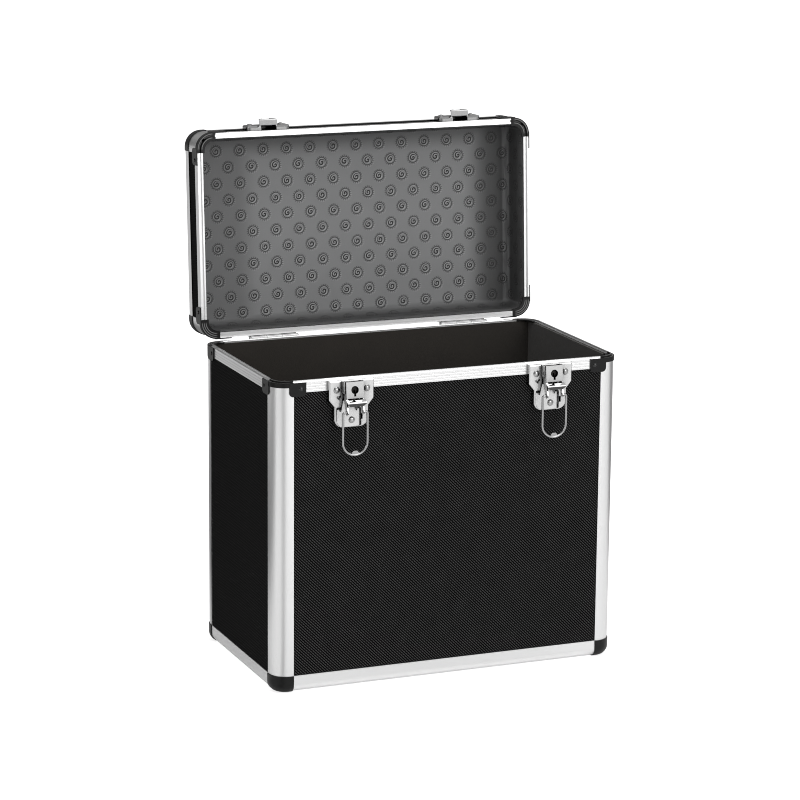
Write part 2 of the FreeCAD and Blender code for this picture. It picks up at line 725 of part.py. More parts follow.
def make_rivet(label, spot, head_round, head_high):
    """A domed head on a shank."""
    along, sign, x, y, z, depth = spot
    shank = rod(label + "_shank", along, *stretch(along, sign, x, y, z, depth, ZERO)[:3], s.shank_round, depth)
    ball = (head_round * head_round + head_high * head_high) / (head_high * 2)
    sink = ball - head_high
    head = doc.addObject("Part::Sphere", label + "_head")
    head.setExpression("Radius", ball.text)
    head.setExpression("Angle1", f"asin({sink.text} / {ball.text})")
    facing = FreeCAD.Vector(*[sign if name == along else 0 for name in "xyz"])
    head.Placement.Rotation = FreeCAD.Rotation(FreeCAD.Vector(0, 0, 1), facing)
    shift = -sink * sign
    set_base(
        head,
        x + shift if along == "x" else x,
        y + shift if along == "y" else y,
        z + shift if along == "z" else z,
    )
    return fuse(label, [shank, head])


def make_brackets(shell):
    caps = [make_corner_cap(f"{shell}_cap_{word}", shell, x, y) for word, x, y in CORNERS]
    node(f"{shell}_corner_caps", caps, shell)
    brackets = [make_rim_bracket(f"{shell}_bracket_{word}", shell, x, y) for word, x, y in CORNERS]
    node(f"{shell}_rim_brackets", brackets, shell)
    return [spot for word, x, y in CORNERS for spot in bracket_rivets(shell, x, y)]


# Linings: felt walls over the rails and boards, and the embossed pad under the lid board
def room(inset):
    """The two horizontal pairs of a room set in from the outer faces."""
    return (inset - half_width, half_width - inset), (inset - half_depth, half_depth - inset)


def make_lining(label, shell):
    """Felt that lies on the boards and covers the inner legs of the rails."""
    away, edge, closed_end, rim_high = SHELLS[shell]
    top = edge + s.flange_thick * away
    end = closed_end - inner * away
    behind = s.rail_skin + s.board
    x_whole, y_whole = room(inner)
    parts = [box(label + "_whole", x_whole, y_whole, (top, end))]
    z_board = (edge + rim_high * away, closed_end - s.edge_lip * away)
    x_board, y_board = room(s.post_lip)
    x_deep, y_deep = room(behind)
    parts.append(box(label + "_on_long_boards", x_board, y_deep, z_board))
    parts.append(box(label + "_on_side_boards", x_deep, y_board, z_board))
    if shell == "case":
        x_floor, y_floor = room(s.edge_lip)
        floor_pair = (closed_end - behind * away, end - s.lining * away)
        parts.append(box(label + "_on_floor", x_floor, y_floor, floor_pair))
    whole = fuse(label + "_outside", parts)
    x_inside, y_inside = room(inner + s.lining)
    stop = end - s.lining * away if shell == "case" else end + s.overrun * away
    inside = box(label + "_inside", x_inside, y_inside, (top - s.overrun * away, stop))
    return cut(label + "_shell", whole, [inside])


def make_linings():
    node("case_lining", [make_lining("case_lining", "case")], "case")
    node("lid_wall_lining", [make_lining("lid_wall_lining", "lid")], "lid")
    behind = s.rail_skin + s.board
    x_pair, y_pair = room(inner + s.lining + s.pad_gap)
    face = box("lid_pad_face", x_pair, y_pair, (lid_top - inner, lid_top - inner - s.pad_thick))
    x_pair, y_pair = room(s.edge_lip)
    seat = box("lid_pad_seat", x_pair, y_pair, (lid_top - behind, lid_top - inner))
    node("lid_pad", [fuse("lid_pad_whole", [face, seat])], "lid")


# Latches. Heights above the rim rail run towards -Y, and drops run down from the rim.
def out(value):
    return -half_depth - value


def down(value):
    return rim - value


def pan_outline(x_mid, inset):
    wide = s.pan_wide / 2 - inset
    slim = s.pan_slim / 2 - inset
    foot = s.pan_high - inset
    right = [(wide, inset), (wide, s.pan_shoulder), (slim, s.pan_waist), (slim, foot)]
    left = [(-a, b) for a, b in reversed(right)]
    return [(x_mid + a, down(b)) for a, b in right + left]


def round_foot(pan, x_mid, inset):
    """Rounds the two lower corners of a pan, or of its hollow."""
    slim = s.pan_slim / 2 - inset
    foot = down(s.pan_high - inset)
    names = edges_along(pan.Shape, "y", [(x_mid - slim, foot), (x_mid + slim, foot)])
    return round_off(pan, names, s.pan_foot - inset)


def latch_rivets(x_mid):
    front = out(s.pan_out)
    side_drop = down(s.pan_rivet_drop)
    return [
        ("y", -1, x_mid - s.pan_rivet_side, front, side_drop, s.pan_out),
        ("y", -1, x_mid + s.pan_rivet_side, front, side_drop, s.pan_out),
        ("y", -1, x_mid, front, down(s.pan_rivet_low), s.pan_out + s.rail_skin),
    ]


def make_latch_pan(label, x_mid):
    """A pressed pan with two ears for the lever pin."""
    deep = -s.rail_skin
    shell = extrude(label + "_outside", "y", pan_outline(x_mid, ZERO), out(s.pan_out), out(deep))
    shell = round_foot(shell, x_mid, ZERO)
    names = edges_at(shell.Shape, "y", out(s.pan_out).value)
    shell = round_off(shell, names, s.pan_edge)
    hollow = extrude(
        label + "_hollow", "y", pan_outline(x_mid, s.sheet), out(s.pan_out - s.sheet), out(deep - s.overrun)
    )
    hollow = round_foot(hollow, x_mid, s.sheet)
    on_rail = box(
        label + "_on_rail", (x_mid - s.pan_wide, x_mid + s.pan_wide),
        (out(ZERO), out(deep - s.overrun)), (rim + s.overrun, down(s.rim_face)),
    )
    ears = []
    for sign in SIDES:
        near = x_mid + (s.lever_wide / 2 + s.lever_gap) * sign
        far = near + s.sheet * sign
        z_pair = (down(s.sheet / 2), down(s.ear_drop))
        y_pair = (out(s.pan_out - s.sheet), out(s.ear_out))
        ears.append(box(f"{label}_ear_{sign + 1}", (near, far), y_pair, z_pair))
    tools = [rivet_hole(f"{label}_hole_{n}", spot) for n, spot in enumerate(latch_rivets(x_mid))]
    slot_half = s.pan_slot_wide / 2
    slot_mid = x_mid + s.pan_slot_side
    tools.append(box(
        label + "_slot",
        (slot_mid - slot_half, slot_mid + slot_half),
        (out(s.pan_out + s.overrun), out(ZERO)),
        (down(s.pan_slot_drop), down(s.pan_slot_drop + s.pan_slot_high)),
    ))
    tools.append(pin_rod(label + "_pin_hole", x_mid, s.pin_round))
    pan = cut(label + "_pressing", shell, [hollow, on_rail])
    return cut(label, fuse(label + "_with_ears", [pan] + ears), tools)


def pin_rod(label, x_mid, radius):
    """The lever pin, from the outside of one ear to the outside of the other."""
    half = s.lever_wide / 2 + s.lever_gap + s.sheet
    return rod(label, "x", x_mid - half, out(s.pin_out), down(s.pin_drop), radius, half * 2)


def cheek_outline():
    """The side of a lever, from its top round to the bail pivot."""
    back = s.pin_out - s.cheek_back
    rest = s.pan_out + s.rest_gap
    ring = s.cheek_round
    return [
        (back, s.lever_top),
        (s.lever_face_out - s.sheet, s.lever_top),
        (s.lever_low_out - s.sheet, s.lever_low),
        (s.bail_out + ring, s.bail_drop),
        (s.bail_out + ring / 2, s.bail_drop + ring),
        (s.bail_out - ring / 2, s.bail_drop + ring),
        (s.bail_out - ring, s.bail_drop),
        (rest, s.ear_drop + s.sheet),
        (rest, s.ear_drop - s.sheet * 2),
    ]


def make_lever(label, x_mid):
    """A folded lever with a keyhole in its face, a finger lip and two cheeks."""
    half = s.lever_wide / 2
    face = [
        (s.lever_face_out - s.sheet, s.lever_top),
        (s.lever_face_out, s.lever_top),
        (s.lever_low_out, s.lever_low),
        (s.lever_low_out - s.sheet, s.lever_low + s.sheet / 2),
    ]
    face_corners = [(out(a), down(b)) for a, b in face]
    front = extrude(label + "_face", "x", face_corners, x_mid - half, x_mid + half)
    lip = [
        (s.lever_low_out - s.sheet, s.lever_low - s.sheet / 2),
        (s.lever_low_out, s.lever_low - s.sheet / 2),
        (s.lip_out, s.lip_crest),
        (s.lip_out - s.lip_tuck, s.lip_drop),
        (s.lip_out - s.lip_tuck - s.sheet, s.lip_drop - s.sheet / 2),
        (s.lip_out - s.sheet * 3 / 2, s.lip_crest + s.sheet / 2),
        (s.lever_low_out - s.sheet, s.lever_low + s.sheet),
    ]
    lip_corners = [(out(a), down(b)) for a, b in lip]
    lip_half = s.lip_wide / 2
    finger = extrude(label + "_lip", "x", lip_corners, x_mid - lip_half, x_mid + lip_half)
    crest = edges_along(finger.Shape, "x", [(out(s.lip_out), down(s.lip_crest))])
    finger = round_off(finger, crest, s.lip_bend)
    corners = []
    for sign in SIDES:
        side = [
            (x_mid + (lip_half + s.overrun) * sign, down(s.lip_drop - s.lip_corner)),
            (x_mid + lip_half * sign, down(s.lip_drop - s.lip_corner)),
            (x_mid + (lip_half - s.lip_corner) * sign, down(s.lip_drop)),
            (x_mid + (lip_half - s.lip_corner) * sign, down(s.lip_drop + s.overrun)),
            (x_mid + (lip_half + s.overrun) * sign, down(s.lip_drop + s.overrun)),
        ]
        corners.append(extrude(f"{label}_lip_corner_{sign + 1}", "y", side,
                               out(s.lip_out + s.overrun), out(s.lever_low_out)))
    finger = cut(label + "_finger", finger, corners)
    cheek = [(out(a), down(b)) for a, b in cheek_outline()]
    left = extrude(label + "_cheek_left", "x", cheek, x_mid - half, x_mid - half + s.sheet)
    right = extrude(label + "_cheek_right", "x", cheek, x_mid + half - s.sheet, x_mid + half)
    cup_out = s.keyhole_round + s.cup_wall
    cup_start = s.lever_face_out - s.sheet / 4
    cup_long = cup_start - s.pan_out - s.sheet
    cup = rod(label + "_cup", "y", x_mid, out(cup_start), down(s.keyhole_drop), cup_out, cup_long)
    whole = fuse(label + "_folded", [front, finger, left, right, cup])
    slot_half = s.keyhole_slot / 2
    face_pair = (out(s.lever_low_out + s.overrun), out(s.lever_face_out - s.sheet * 2))
    key_slot_box = box(
        label + "_key_slot", (x_mid - slot_half, x_mid + slot_half), face_pair,
        (down(s.keyhole_drop), down(s.keyhole_end)),
    )
    key_round = rod(
        label + "_key_round", "y", x_mid, out(s.lever_low_out + s.overrun), down(s.keyhole_drop),
        s.keyhole_round, s.lever_low_out + s.overrun - s.pan_out,
    )
    fold_half = half - s.sheet
    fold = box(
        label + "_fold", (x_mid - fold_half, x_mid + fold_half), face_pair,
        (down(s.fold_drop), down(s.fold_drop + s.fold_high)),
    )
    tools = [
        key_slot_box,
        key_round,
        fold,
        pin_rod(label + "_pin_room", x_mid, s.pin_round + s.running_gap),
        rod(label + "_bail_room", "x", x_mid - half - s.overrun, out(s.bail_out), down(s.bail_drop),
            s.bail_wire + s.running_gap, (half + s.overrun) * 2),
    ]
    return cut(label, whole, tools)


def make_barrel(label, x_mid):
    """The turning barrel of the lock, with a slot for the key."""
    face_here = s.lever_face_out - s.sheet
    start = face_here - s.barrel_gap - s.barrel_long
    barrel = rod(label + "_round", "y", x_mid, out(face_here - s.barrel_gap), down(s.keyhole_drop),
                 s.barrel_round, s.barrel_long)
    slot_half = s.key_slot_wide / 2
    slot = box(
        label + "_slot", (x_mid - slot_half, x_mid + slot_half),
        (out(face_here), out(face_here - s.barrel_gap - s.key_slot_deep)),
        (down(s.keyhole_drop), down(s.keyhole_drop + s.barrel_round + s.overrun)),
    )
    return cut(label, barrel, [slot])


def bail_path(x_mid):
    """The wire's centre line: an end in one cheek, down, round the foot and up to the other."""
    y = out(s.bail_out).value
    top = down(s.bail_drop).value
    foot = down(s.bail_low).value
    half = s.bail_half.value
    bend = s.bail_bend.value
    end = half - s.bail_hook.value
    slant = bend * (1 - math.sqrt(0.5))
    middle = x_mid.value

    def at(x, z):
        return FreeCAD.Vector(middle + x, y, z)

    edges = [
        Part.LineSegment(at(-end, top), at(bend - half, top)),
        Part.Arc(at(bend - half, top), at(slant - half, top - slant), at(-half, top - bend)),
        Part.LineSegment(at(-half, top - bend), at(-half, foot + half)),
        Part.Arc(at(-half, foot + half), at(0, foot), at(half, foot + half)),
        Part.LineSegment(at(half, foot + half), at(half, top - bend)),
        Part.Arc(at(half, top - bend), at(half - slant, top - slant), at(half - bend, top)),
        Part.LineSegment(at(half - bend, top), at(end, top)),
    ]
    return Part.Wire([edge.toShape() for edge in edges])


def make_bail(label, x_mid):
    """A wire loop that hangs from the lever, with a small lug at its foot."""
    path = bail_path(x_mid)
    start = path.Vertexes[0].Point
    ring = Part.Wire([Part.Circle(start, FreeCAD.Vector(1, 0, 0), s.bail_wire.value).toShape()])
    wire = doc.addObject("Part::Feature", label + "_wire")
    wire.Shape = path.makePipeShell([ring], True, False)
    lug_half = s.bail_lug_wide / 2
    lug_side = s.bail_lug_high - s.bail_lug_cut
    lug_top = lug_half - s.bail_lug_cut
    half_outline = [(lug_half, ZERO), (lug_half, lug_side), (lug_top, s.bail_lug_high)]
    outline = half_outline + [(-a, b) for a, b in reversed(half_outline)]
    corners = [(x_mid + a, down(s.bail_low - b)) for a, b in outline]
    lug = extrude(
        label + "_lug", "y", corners, out(s.bail_out + s.bail_wire / 2), out(s.bail_out - s.bail_wire / 2)
    )
    return fuse(label, [wire, lug])


def make_latches():
    pins = []
    for side, sign in (("left", -1), ("right", 1)):
        x_mid = latch_offset * sign
        node(f"latch_pan_{side}", [make_latch_pan(f"pan_{side}", x_mid)], "case")
        node(f"latch_lever_{side}", [make_lever(f"lever_{side}", x_mid)], "case")
        node(f"lock_barrel_{side}", [make_barrel(f"barrel_{side}", x_mid)], "case")
        node(f"latch_bail_{side}", [make_bail(f"bail_{side}", x_mid)], "case")
        pins.append(pin_rod(f"pin_{side}", x_mid, s.pin_round))
    node("latch_pins", pins, "case")
    return [spot for sign in SIDES for spot in latch_rivets(latch_offset * sign)]


# Lid catches
def catch_rivets(x_mid):
    z_place = lid_rim + s.catch_rivet_rise
    depth = s.catch_out + s.rail_skin
    return [("y", -1, x_mid + s.catch_rivet_side * sign, out(s.catch_out), z_place, depth) for sign in SIDES]


def make_catch(label, x_mid):
    """A riveted plate on the lid with a hook for the bail."""
    low = lid_rim + s.catch_low
    high = low + s.catch_high
    deep = -s.rail_skin

    def outline(inset, low_inset):
        half = s.catch_wide / 2 - inset
        z_low = low + low_inset
        z_high = high - inset
        return [(x_mid - half, z_low), (x_mid + half, z_low), (x_mid + half, z_high), (x_mid - half, z_high)]

    whole = outline(ZERO, ZERO)
    shell = extrude(label + "_outside", "y", whole, out(s.catch_out), out(deep))
    shell = round_off(shell, edges_along(shell.Shape, "y", whole), s.catch_round)
    shell = round_off(shell, edges_at(shell.Shape, "y", out(s.catch_out).value), s.catch_edge)
    inside = outline(s.sheet, s.slope_high + s.sheet)
    hollow = extrude(label + "_hollow", "y", inside, out(s.catch_out - s.sheet), out(deep - s.overrun))
    hollow = round_off(hollow, edges_along(hollow.Shape, "y", inside), s.catch_round - s.sheet)
    on_rail = box(
        label + "_on_rail", (x_mid - s.catch_wide, x_mid + s.catch_wide),
        (out(ZERO), out(deep - s.overrun)), (rim, lid_rim + s.lid_rim_face),
    )
    slope_corners = [
        (out(s.slope_out), low),
        (out(s.catch_out), low + s.slope_high),
        (out(s.catch_out + s.overrun), low + s.slope_high),
        (out(s.catch_out + s.overrun), low - s.overrun),
        (out(s.slope_out), low - s.overrun),
    ]
    slope = extrude(label + "_slope", "x", slope_corners, x_mid - s.catch_wide, x_mid + s.catch_wide)
    pan = cut(label + "_pressing", shell, [hollow, on_rail, slope])
    seat = hook_block(label + "_seat", x_mid, s.nose_high, s.seat_round, s.nose_lip_in, s.catch_out - s.sheet)
    lip = hook_block(label + "_lip", x_mid, s.nose_lip, s.lip_round, s.nose_out, s.nose_lip_in)
    lip = round_off(lip, edges_at(lip.Shape, "y", out(s.nose_out).value), s.nose_edge)
    tools = [rivet_hole(f"{label}_hole_{n}", spot) for n, spot in enumerate(catch_rivets(x_mid))]
    half = s.nose_wide / 2 - s.sheet
    tools.append(box(
        label + "_throat", (x_mid - half, x_mid + half), (out(s.nose_under), out(-s.rail_skin)),
        (lid_rim, lid_rim + s.nose_high - s.sheet),
    ))
    half = s.bail_lug_wide / 2 + s.notch_gap
    tools.append(box(
        label + "_notch", (x_mid - half, x_mid + half), (out(s.nose_out + s.overrun), out(s.notch_out)),
        (lid_rim + s.notch_high, lid_rim + s.nose_lip + s.overrun),
    ))
    return cut(label, fuse(label + "_formed", [pan, seat, lip]), tools)


def hook_block(label, x_mid, high, corner_round, front, back):
    """One layer of the hook, with its two upper corners rounded to follow the bail."""
    half = s.nose_wide / 2
    z_low = lid_rim + s.nose_low
    z_high = lid_rim + high
    corners = [(x_mid - half, z_low), (x_mid + half, z_low), (x_mid + half, z_high), (x_mid - half, z_high)]
    block = extrude(label, "y", corners, out(front), out(back))
    upper = edges_along(block.Shape, "y", [(x_mid - half, z_high), (x_mid + half, z_high)])
    return round_off(block, upper, corner_round)


def make_catches():
    for side, sign in (("left", -1), ("right", 1)):
        node(f"lid_catch_{side}", [make_catch(f"catch_{side}", latch_offset * sign)], "lid")
    return [spot for sign in SIDES for spot in catch_rivets(latch_offset * sign)]


# Hinges: the case leaf has the two outer knuckles and the lid leaf the middle one
def hinge_rivets(shell, x_mid):
    away, edge, closed_end, rim_high = SHELLS[shell]
    face = half_depth + s.hinge_sheet
    spots = []
    for sign in SIDES:
        x_place = x_mid + s.leaf_rivet_side * sign
        spots.append(("y", 1, x_place, face, edge + s.leaf_rivet_near * away, s.hinge_sheet))
        depth = s.hinge_sheet + s.rail_skin
        spots.append(("y", 1, x_place, face, edge + s.leaf_rivet_far * away, depth))
    return spots


def make_leaf(label, shell, x_mid):
    away, edge, closed_end, rim_high = SHELLS[shell]
    half = s.hinge_wide / 2
    third = s.hinge_wide / 6
    top = edge + s.leaf_gap * away
    plate = box(
        label + "_plate", (x_mid - half, x_mid + half),
        (half_depth, half_depth + s.hinge_sheet), (top, edge + s.leaf_high * away),
    )
    if shell == "lid":
        spans = [(x_mid - third + s.knuckle_gap, x_mid + third - s.knuckle_gap)]
        clear = [(x_mid - half - s.overrun, spans[0][0]), (spans[0][1], x_mid + half + s.overrun)]
    else:
        spans = [(x_mid - half, x_mid - third), (x_mid + third, x_mid + half)]
        clear = [(x_mid - third, x_mid + third)]
    parts = [plate]
    z_far = axis_z + s.knuckle_round * away
    z_near = z_far - s.hinge_sheet * away
    for number, (low, high) in enumerate(spans):
        parts.append(box(f"{label}_web_{number}", (low, high), (half_depth, axis_y), (z_near, z_far)))
        parts.append(rod(f"{label}_knuckle_{number}", "x", low, axis_y, axis_z, s.knuckle_round, high - low))
    if shell == "case":
        parts += [make_lid_stop(f"{label}_stop_{sign + 1}", x_mid, sign) for sign in SIDES]
    whole = fuse(label + "_formed", parts)
    bore = s.hinge_pin + s.running_gap if shell == "lid" else s.hinge_pin
    tools = [rod(label + "_bore", "x", x_mid - half - s.overrun, axis_y, axis_z, bore, (half + s.overrun) * 2)]
    tools += [rivet_hole(f"{label}_hole_{n}", spot) for n, spot in enumerate(hinge_rivets(shell, x_mid))]
    z_clear = ordered(edge - s.overrun * away, axis_z + (s.knuckle_round + s.knuckle_gap) * away)
    for number, x_pair in enumerate(clear):
        tools.append(box(f"{label}_clear_{number}", x_pair, (half_depth - s.overrun, axis_y), z_clear))
    return cut(label, whole, tools)


def make_lid_stop(label, x_mid, sign):
    """A bent tab behind an outer knuckle that the open lid leaf rests on."""
    third = s.hinge_wide / 6
    near = x_mid + third * sign
    far = near + s.stop_wide * sign
    low = axis_z - s.knuckle_round
    corners = [
        (axis_y, low),
        (axis_y + s.stop_far, low),
        (axis_y + s.stop_far, axis_z + stop_height(s.stop_far)),
        (axis_y + s.stop_near, axis_z + stop_height(s.stop_near)),
        (axis_y + s.stop_near, low + s.hinge_sheet),
        (axis_y, low + s.hinge_sheet),
    ]
    return extrude(label, "x", corners, *ordered(near, far))


def stop_height(behind):
    """Height of the stop face above the hinge axis, under the outer face of the open lid leaf."""
    lean = math.radians(s.open_angle.value - 90)
    face = s.hinge_back - s.hinge_sheet
    return face / math.cos(lean) - behind * math.tan(lean) - s.stop_gap


def make_hinge_pin(label, x_mid):
    half = s.hinge_wide / 2
    shaft = rod(label + "_shaft", "x", x_mid - half, axis_y, axis_z, s.hinge_pin, half * 2)
    heads = [
        rod(label + "_head_left", "x", x_mid - half - s.pin_cap_long, axis_y, axis_z, s.pin_cap, s.pin_cap_long),
        rod(label + "_head_right", "x", x_mid + half, axis_y, axis_z, s.pin_cap, s.pin_cap_long),
    ]
    return fuse(label, [shaft] + heads)


def make_hinges():
    pins = []
    for side, sign in (("left", -1), ("right", 1)):
        x_mid = hinge_offset * sign
        node(f"hinge_case_leaf_{side}", [make_leaf(f"case_leaf_{side}", "case", x_mid)], "case")
        node(f"hinge_lid_leaf_{side}", [make_leaf(f"lid_leaf_{side}", "lid", x_mid)], "lid")
        pins.append(make_hinge_pin(f"hinge_pin_{side}", x_mid))
    node("hinge_pins", pins, "case")
    spots = {}
    for shell in ("case", "lid"):
        spots[shell] = [spot for sign in SIDES for spot in hinge_rivets(shell, hinge_offset * sign)]
    return spots


# Carrying handle on the lid, folded back towards the hinges
def plate_rivets(x_mid):
    seat, pivot = handle_place()
    face = seat + s.plate_thick
    spots = []
    for x_sign in SIDES:
        x_place = x_mid + s.plate_rivet_side * x_sign
        for y_sign in SIDES:
            spots.append(("z", 1, x_place, s.plate_rivet_far * y_sign, face, s.plate_thick))
    return spots


def make_handle_plate(label, x_mid):
    """A plate with two lugs that hold the pin of one handle arm."""
    seat, pivot = handle_place()
    half_wide = s.plate_wide / 2
    half_long = s.plate_long / 2
    corners = [
        (x_mid - half_wide, -half_long),
        (x_mid + half_wide, -half_long),
        (x_mid + half_wide, half_long),
        (x_mid - half_wide, half_long),
    ]
    plate = extrude(label + "_plate", "z", corners, seat, seat + s.plate_thick)
    plate = round_off(plate, edges_along(plate.Shape, "z", corners), s.plate_round)
    parts = [plate]
    lug_half = s.lug_wide / 2
    for sign in SIDES:
        near = x_mid + (s.arm_thick / 2 + s.lug_gap) * sign
        far = near + s.lug_thick * sign
        parts.append(box(f"{label}_lug_{sign + 1}", (near, far), (-lug_half, lug_half), (seat, pivot)))
        low = ordered(near, far)[0]
        parts.append(rod(f"{label}_eye_{sign + 1}", "x", low, ZERO, pivot, lug_half, s.lug_thick))
    whole = fuse(label + "_formed", parts)
    tools = [rivet_hole(f"{label}_hole_{n}", spot) for n, spot in enumerate(plate_rivets(x_mid))]
    tools.append(handle_pin_rod(label + "_bore", x_mid, s.handle_pin))
    return cut(label, whole, tools)


def handle_pin_rod(label, x_mid, radius):
    seat, pivot = handle_place()
    half = s.arm_thick / 2 + s.lug_gap + s.lug_thick
    return rod(label, "x", x_mid - half, ZERO, pivot, radius, half * 2)


def make_handle_frame(label):
    """Two steel arms joined by the core rod of the grip."""
    seat, pivot = handle_place()
    parts = []
    half_thick = s.arm_thick / 2
    half_high = s.arm_high / 2
    for sign in SIDES:
        low = s.handle_span * sign - half_thick
        high = s.handle_span * sign + half_thick
        parts.append(box(
            f"{label}_arm_{sign + 1}", (low, high), (ZERO, s.handle_throw),
            (pivot - half_high, pivot + half_high),
        ))
        for place, word in ((ZERO, "pivot"), (s.handle_throw, "grip")):
            parts.append(rod(f"{label}_{word}_{sign + 1}", "x", low, place, pivot, half_high, s.arm_thick))
    reach = s.handle_span
    parts.append(rod(label + "_core", "x", -reach, s.handle_throw, pivot, s.handle_core, reach * 2))
    whole = fuse(label + "_formed", parts)
    tools = [
        handle_pin_rod(f"{label}_bore_{sign + 1}", s.handle_span * sign, s.handle_pin + s.running_gap)
        for sign in SIDES
    ]
    return cut(label, whole, tools)


def make_grip(label):
    """A moulded sleeve on the core, with finger grooves all round."""
    seat, pivot = handle_place()
    half = s.handle_span - s.arm_thick / 2 - s.grip_end_gap
    long = half * 2
    sleeve = rod(label + "_sleeve", "x", -half, s.handle_throw, pivot, s.grip_round, long)
    bore = rod(label + "_bore", "x", -half - s.overrun, s.handle_throw, pivot, s.handle_core,
               long + s.overrun * 2)
    tools = [bore]
    count = int(long.value / s.grip_pitch.value) - 1
    for number in range(count):
        middle = s.grip_pitch * (number - (count - 1) / 2)
        low = middle - s.grip_groove_long / 2
        outer = rod(f"{label}_band_{number}", "x", low, s.handle_throw, pivot,
                    s.grip_round + s.overrun, s.grip_groove_long)
        core = rod(f"{label}_keep_{number}", "x", low - s.overrun, s.handle_throw, pivot,
                   s.grip_round - s.grip_groove, s.grip_groove_long + s.overrun * 2)
        tools.append(cut(f"{label}_groove_{number}", outer, [core]))
    return cut(label, sleeve, tools)


def make_handle():
    plates = [make_handle_plate(f"handle_plate_{sign + 1}", s.handle_span * sign) for sign in SIDES]
    node("handle_plates", plates, "lid")
    node("handle_frame", [make_handle_frame("frame")], "handle")
    node("handle_grip", [make_grip("grip")], "handle")
    pins = [handle_pin_rod(f"handle_pin_{sign + 1}", s.handle_span * sign, s.handle_pin) for sign in SIDES]
    node("handle_pins", pins, "lid")
    return [spot for sign in SIDES for spot in plate_rivets(s.handle_span * sign)]


# The whole part
def build():
    make_frame("case", "bottom")
    make_frame("lid", "top")
    make_boards("case", "bottom")
    make_boards("lid", "top")
    make_linings()
    small = {"case": make_brackets("case"), "lid": make_brackets("lid")}
    large = {"case": make_latches(), "lid": make_catches()}
    hinge_spots = make_hinges()
    large["lid"] += make_handle()
    for shell in SHELLS:
        rivets = []
        for number, spot in enumerate(small[shell] + hinge_spots[shell]):
            rivets.append(make_rivet(f"{shell}_rivet_{number}", spot, s.rivet_round, s.rivet_head))
        for number, spot in enumerate(large[shell]):
            rivets.append(make_rivet(f"{shell}_stud_{number}", spot, s.stud_round, s.stud_head))
        node(f"{shell}_rivets", rivets, shell)
    doc.recompute()


def check():
    for item in doc.Objects:
        if "Invalid" in item.State or "Error" in item.State:
            raise RuntimeError(f"{item.Label} failed")
    for item in nodes:
        if item.Shape.isNull() or not item.Shape.isValid() or not item.Shape.Solids:
            raise RuntimeError(f"{item.Label} has no valid solid")


def write():
    os.makedirs("parts", exist_ok=True)
    for item in nodes:
        item.Shape.exportStep(f"parts/{item.Label}.step")


def centre_on_origin():
    """Moves every node so that the origin is the bottom centre of the whole part at rest."""
    bounds = FreeCAD.BoundBox()
    for item in nodes:
        bounds.add(item.Shape.BoundBox)
    move = FreeCAD.Vector(-bounds.Center.x, -bounds.Center.y, -bounds.ZMin)
    shift = FreeCAD.Placement(move, FreeCAD.Rotation())
    for item in nodes:
        item.Placement = shift.multiply(item.Placement)
    doc.recompute()
    return move


build()
check()
moved = centre_on_origin()
check()
write()
handle_pin_at = POSES["lid"].multVec(FreeCAD.Vector(0, 0, handle_place()[1].value))
print(f"{len(nodes)} nodes, moved by {moved.x:.4f} {moved.y:.4f} {moved.z:.4f}")
for word, along_y, up_z in (
    ("lid", axis_y.value, axis_z.value),
    ("lever", out(s.pin_out).value, down(s.pin_drop).value),
    ("bail", out(s.bail_out).value, down(s.bail_drop).value),
    ("lock", out(s.lever_face_out).value, down(s.keyhole_drop).value),
    ("handle", handle_pin_at.y, handle_pin_at.z),
):
    print(f"{word} axis at y {along_y + moved.y:.4f}, z {up_z + moved.z:.4f}")
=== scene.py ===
import math

import bpy
import numpy as np
from mathutils import Matrix, Vector


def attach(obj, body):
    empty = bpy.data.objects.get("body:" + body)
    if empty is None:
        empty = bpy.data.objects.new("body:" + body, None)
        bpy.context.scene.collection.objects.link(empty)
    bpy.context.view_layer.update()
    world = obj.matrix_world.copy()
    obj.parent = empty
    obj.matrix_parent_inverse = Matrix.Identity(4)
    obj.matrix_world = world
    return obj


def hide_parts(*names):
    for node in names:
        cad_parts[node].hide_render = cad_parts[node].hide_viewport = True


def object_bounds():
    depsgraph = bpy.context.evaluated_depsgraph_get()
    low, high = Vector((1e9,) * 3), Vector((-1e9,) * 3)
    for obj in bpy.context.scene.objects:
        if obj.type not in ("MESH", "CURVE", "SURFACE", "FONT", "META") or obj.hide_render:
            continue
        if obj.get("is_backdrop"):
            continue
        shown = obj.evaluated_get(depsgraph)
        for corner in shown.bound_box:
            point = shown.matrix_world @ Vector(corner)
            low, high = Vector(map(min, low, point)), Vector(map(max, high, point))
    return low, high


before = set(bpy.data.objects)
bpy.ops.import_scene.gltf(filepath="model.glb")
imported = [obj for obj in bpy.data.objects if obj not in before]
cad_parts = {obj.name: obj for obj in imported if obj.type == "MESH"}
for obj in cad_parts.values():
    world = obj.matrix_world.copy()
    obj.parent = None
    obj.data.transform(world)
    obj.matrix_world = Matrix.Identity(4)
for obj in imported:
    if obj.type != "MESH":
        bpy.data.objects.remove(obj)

MM = 0.001
TURN = 2 * math.pi
WHITE = (1.0, 1.0, 1.0, 1.0)

# Places in metres, those of the lid as it is closed
HALF_WIDTH = 0.180
HALF_DEPTH = 0.10275
MIDDLE_Y = -0.0280359
FRONT_Y = MIDDLE_Y - HALF_DEPTH
RIM = 0.307
LID_RIM = 0.3073
LID_TOP = 0.3523
HINGE_Y = 0.0781141
HINGE_Z = 0.3055
LID_CENTRE = (0.0, HINGE_Y, HINGE_Z)
LID_OPEN = math.radians(93.25)

# Camera of the picture
CAMERA_AT = (-1.16673, -2.82553, 0.95532)
CAMERA_YAW = math.radians(22.466)
CAMERA_PITCH = math.radians(13.002)
CAMERA_ROLL = math.radians(0.489)
CAMERA_NEAR = 0.1
CAMERA_FAR = 60.0
LENS = 140.8
SENSOR = 36.0


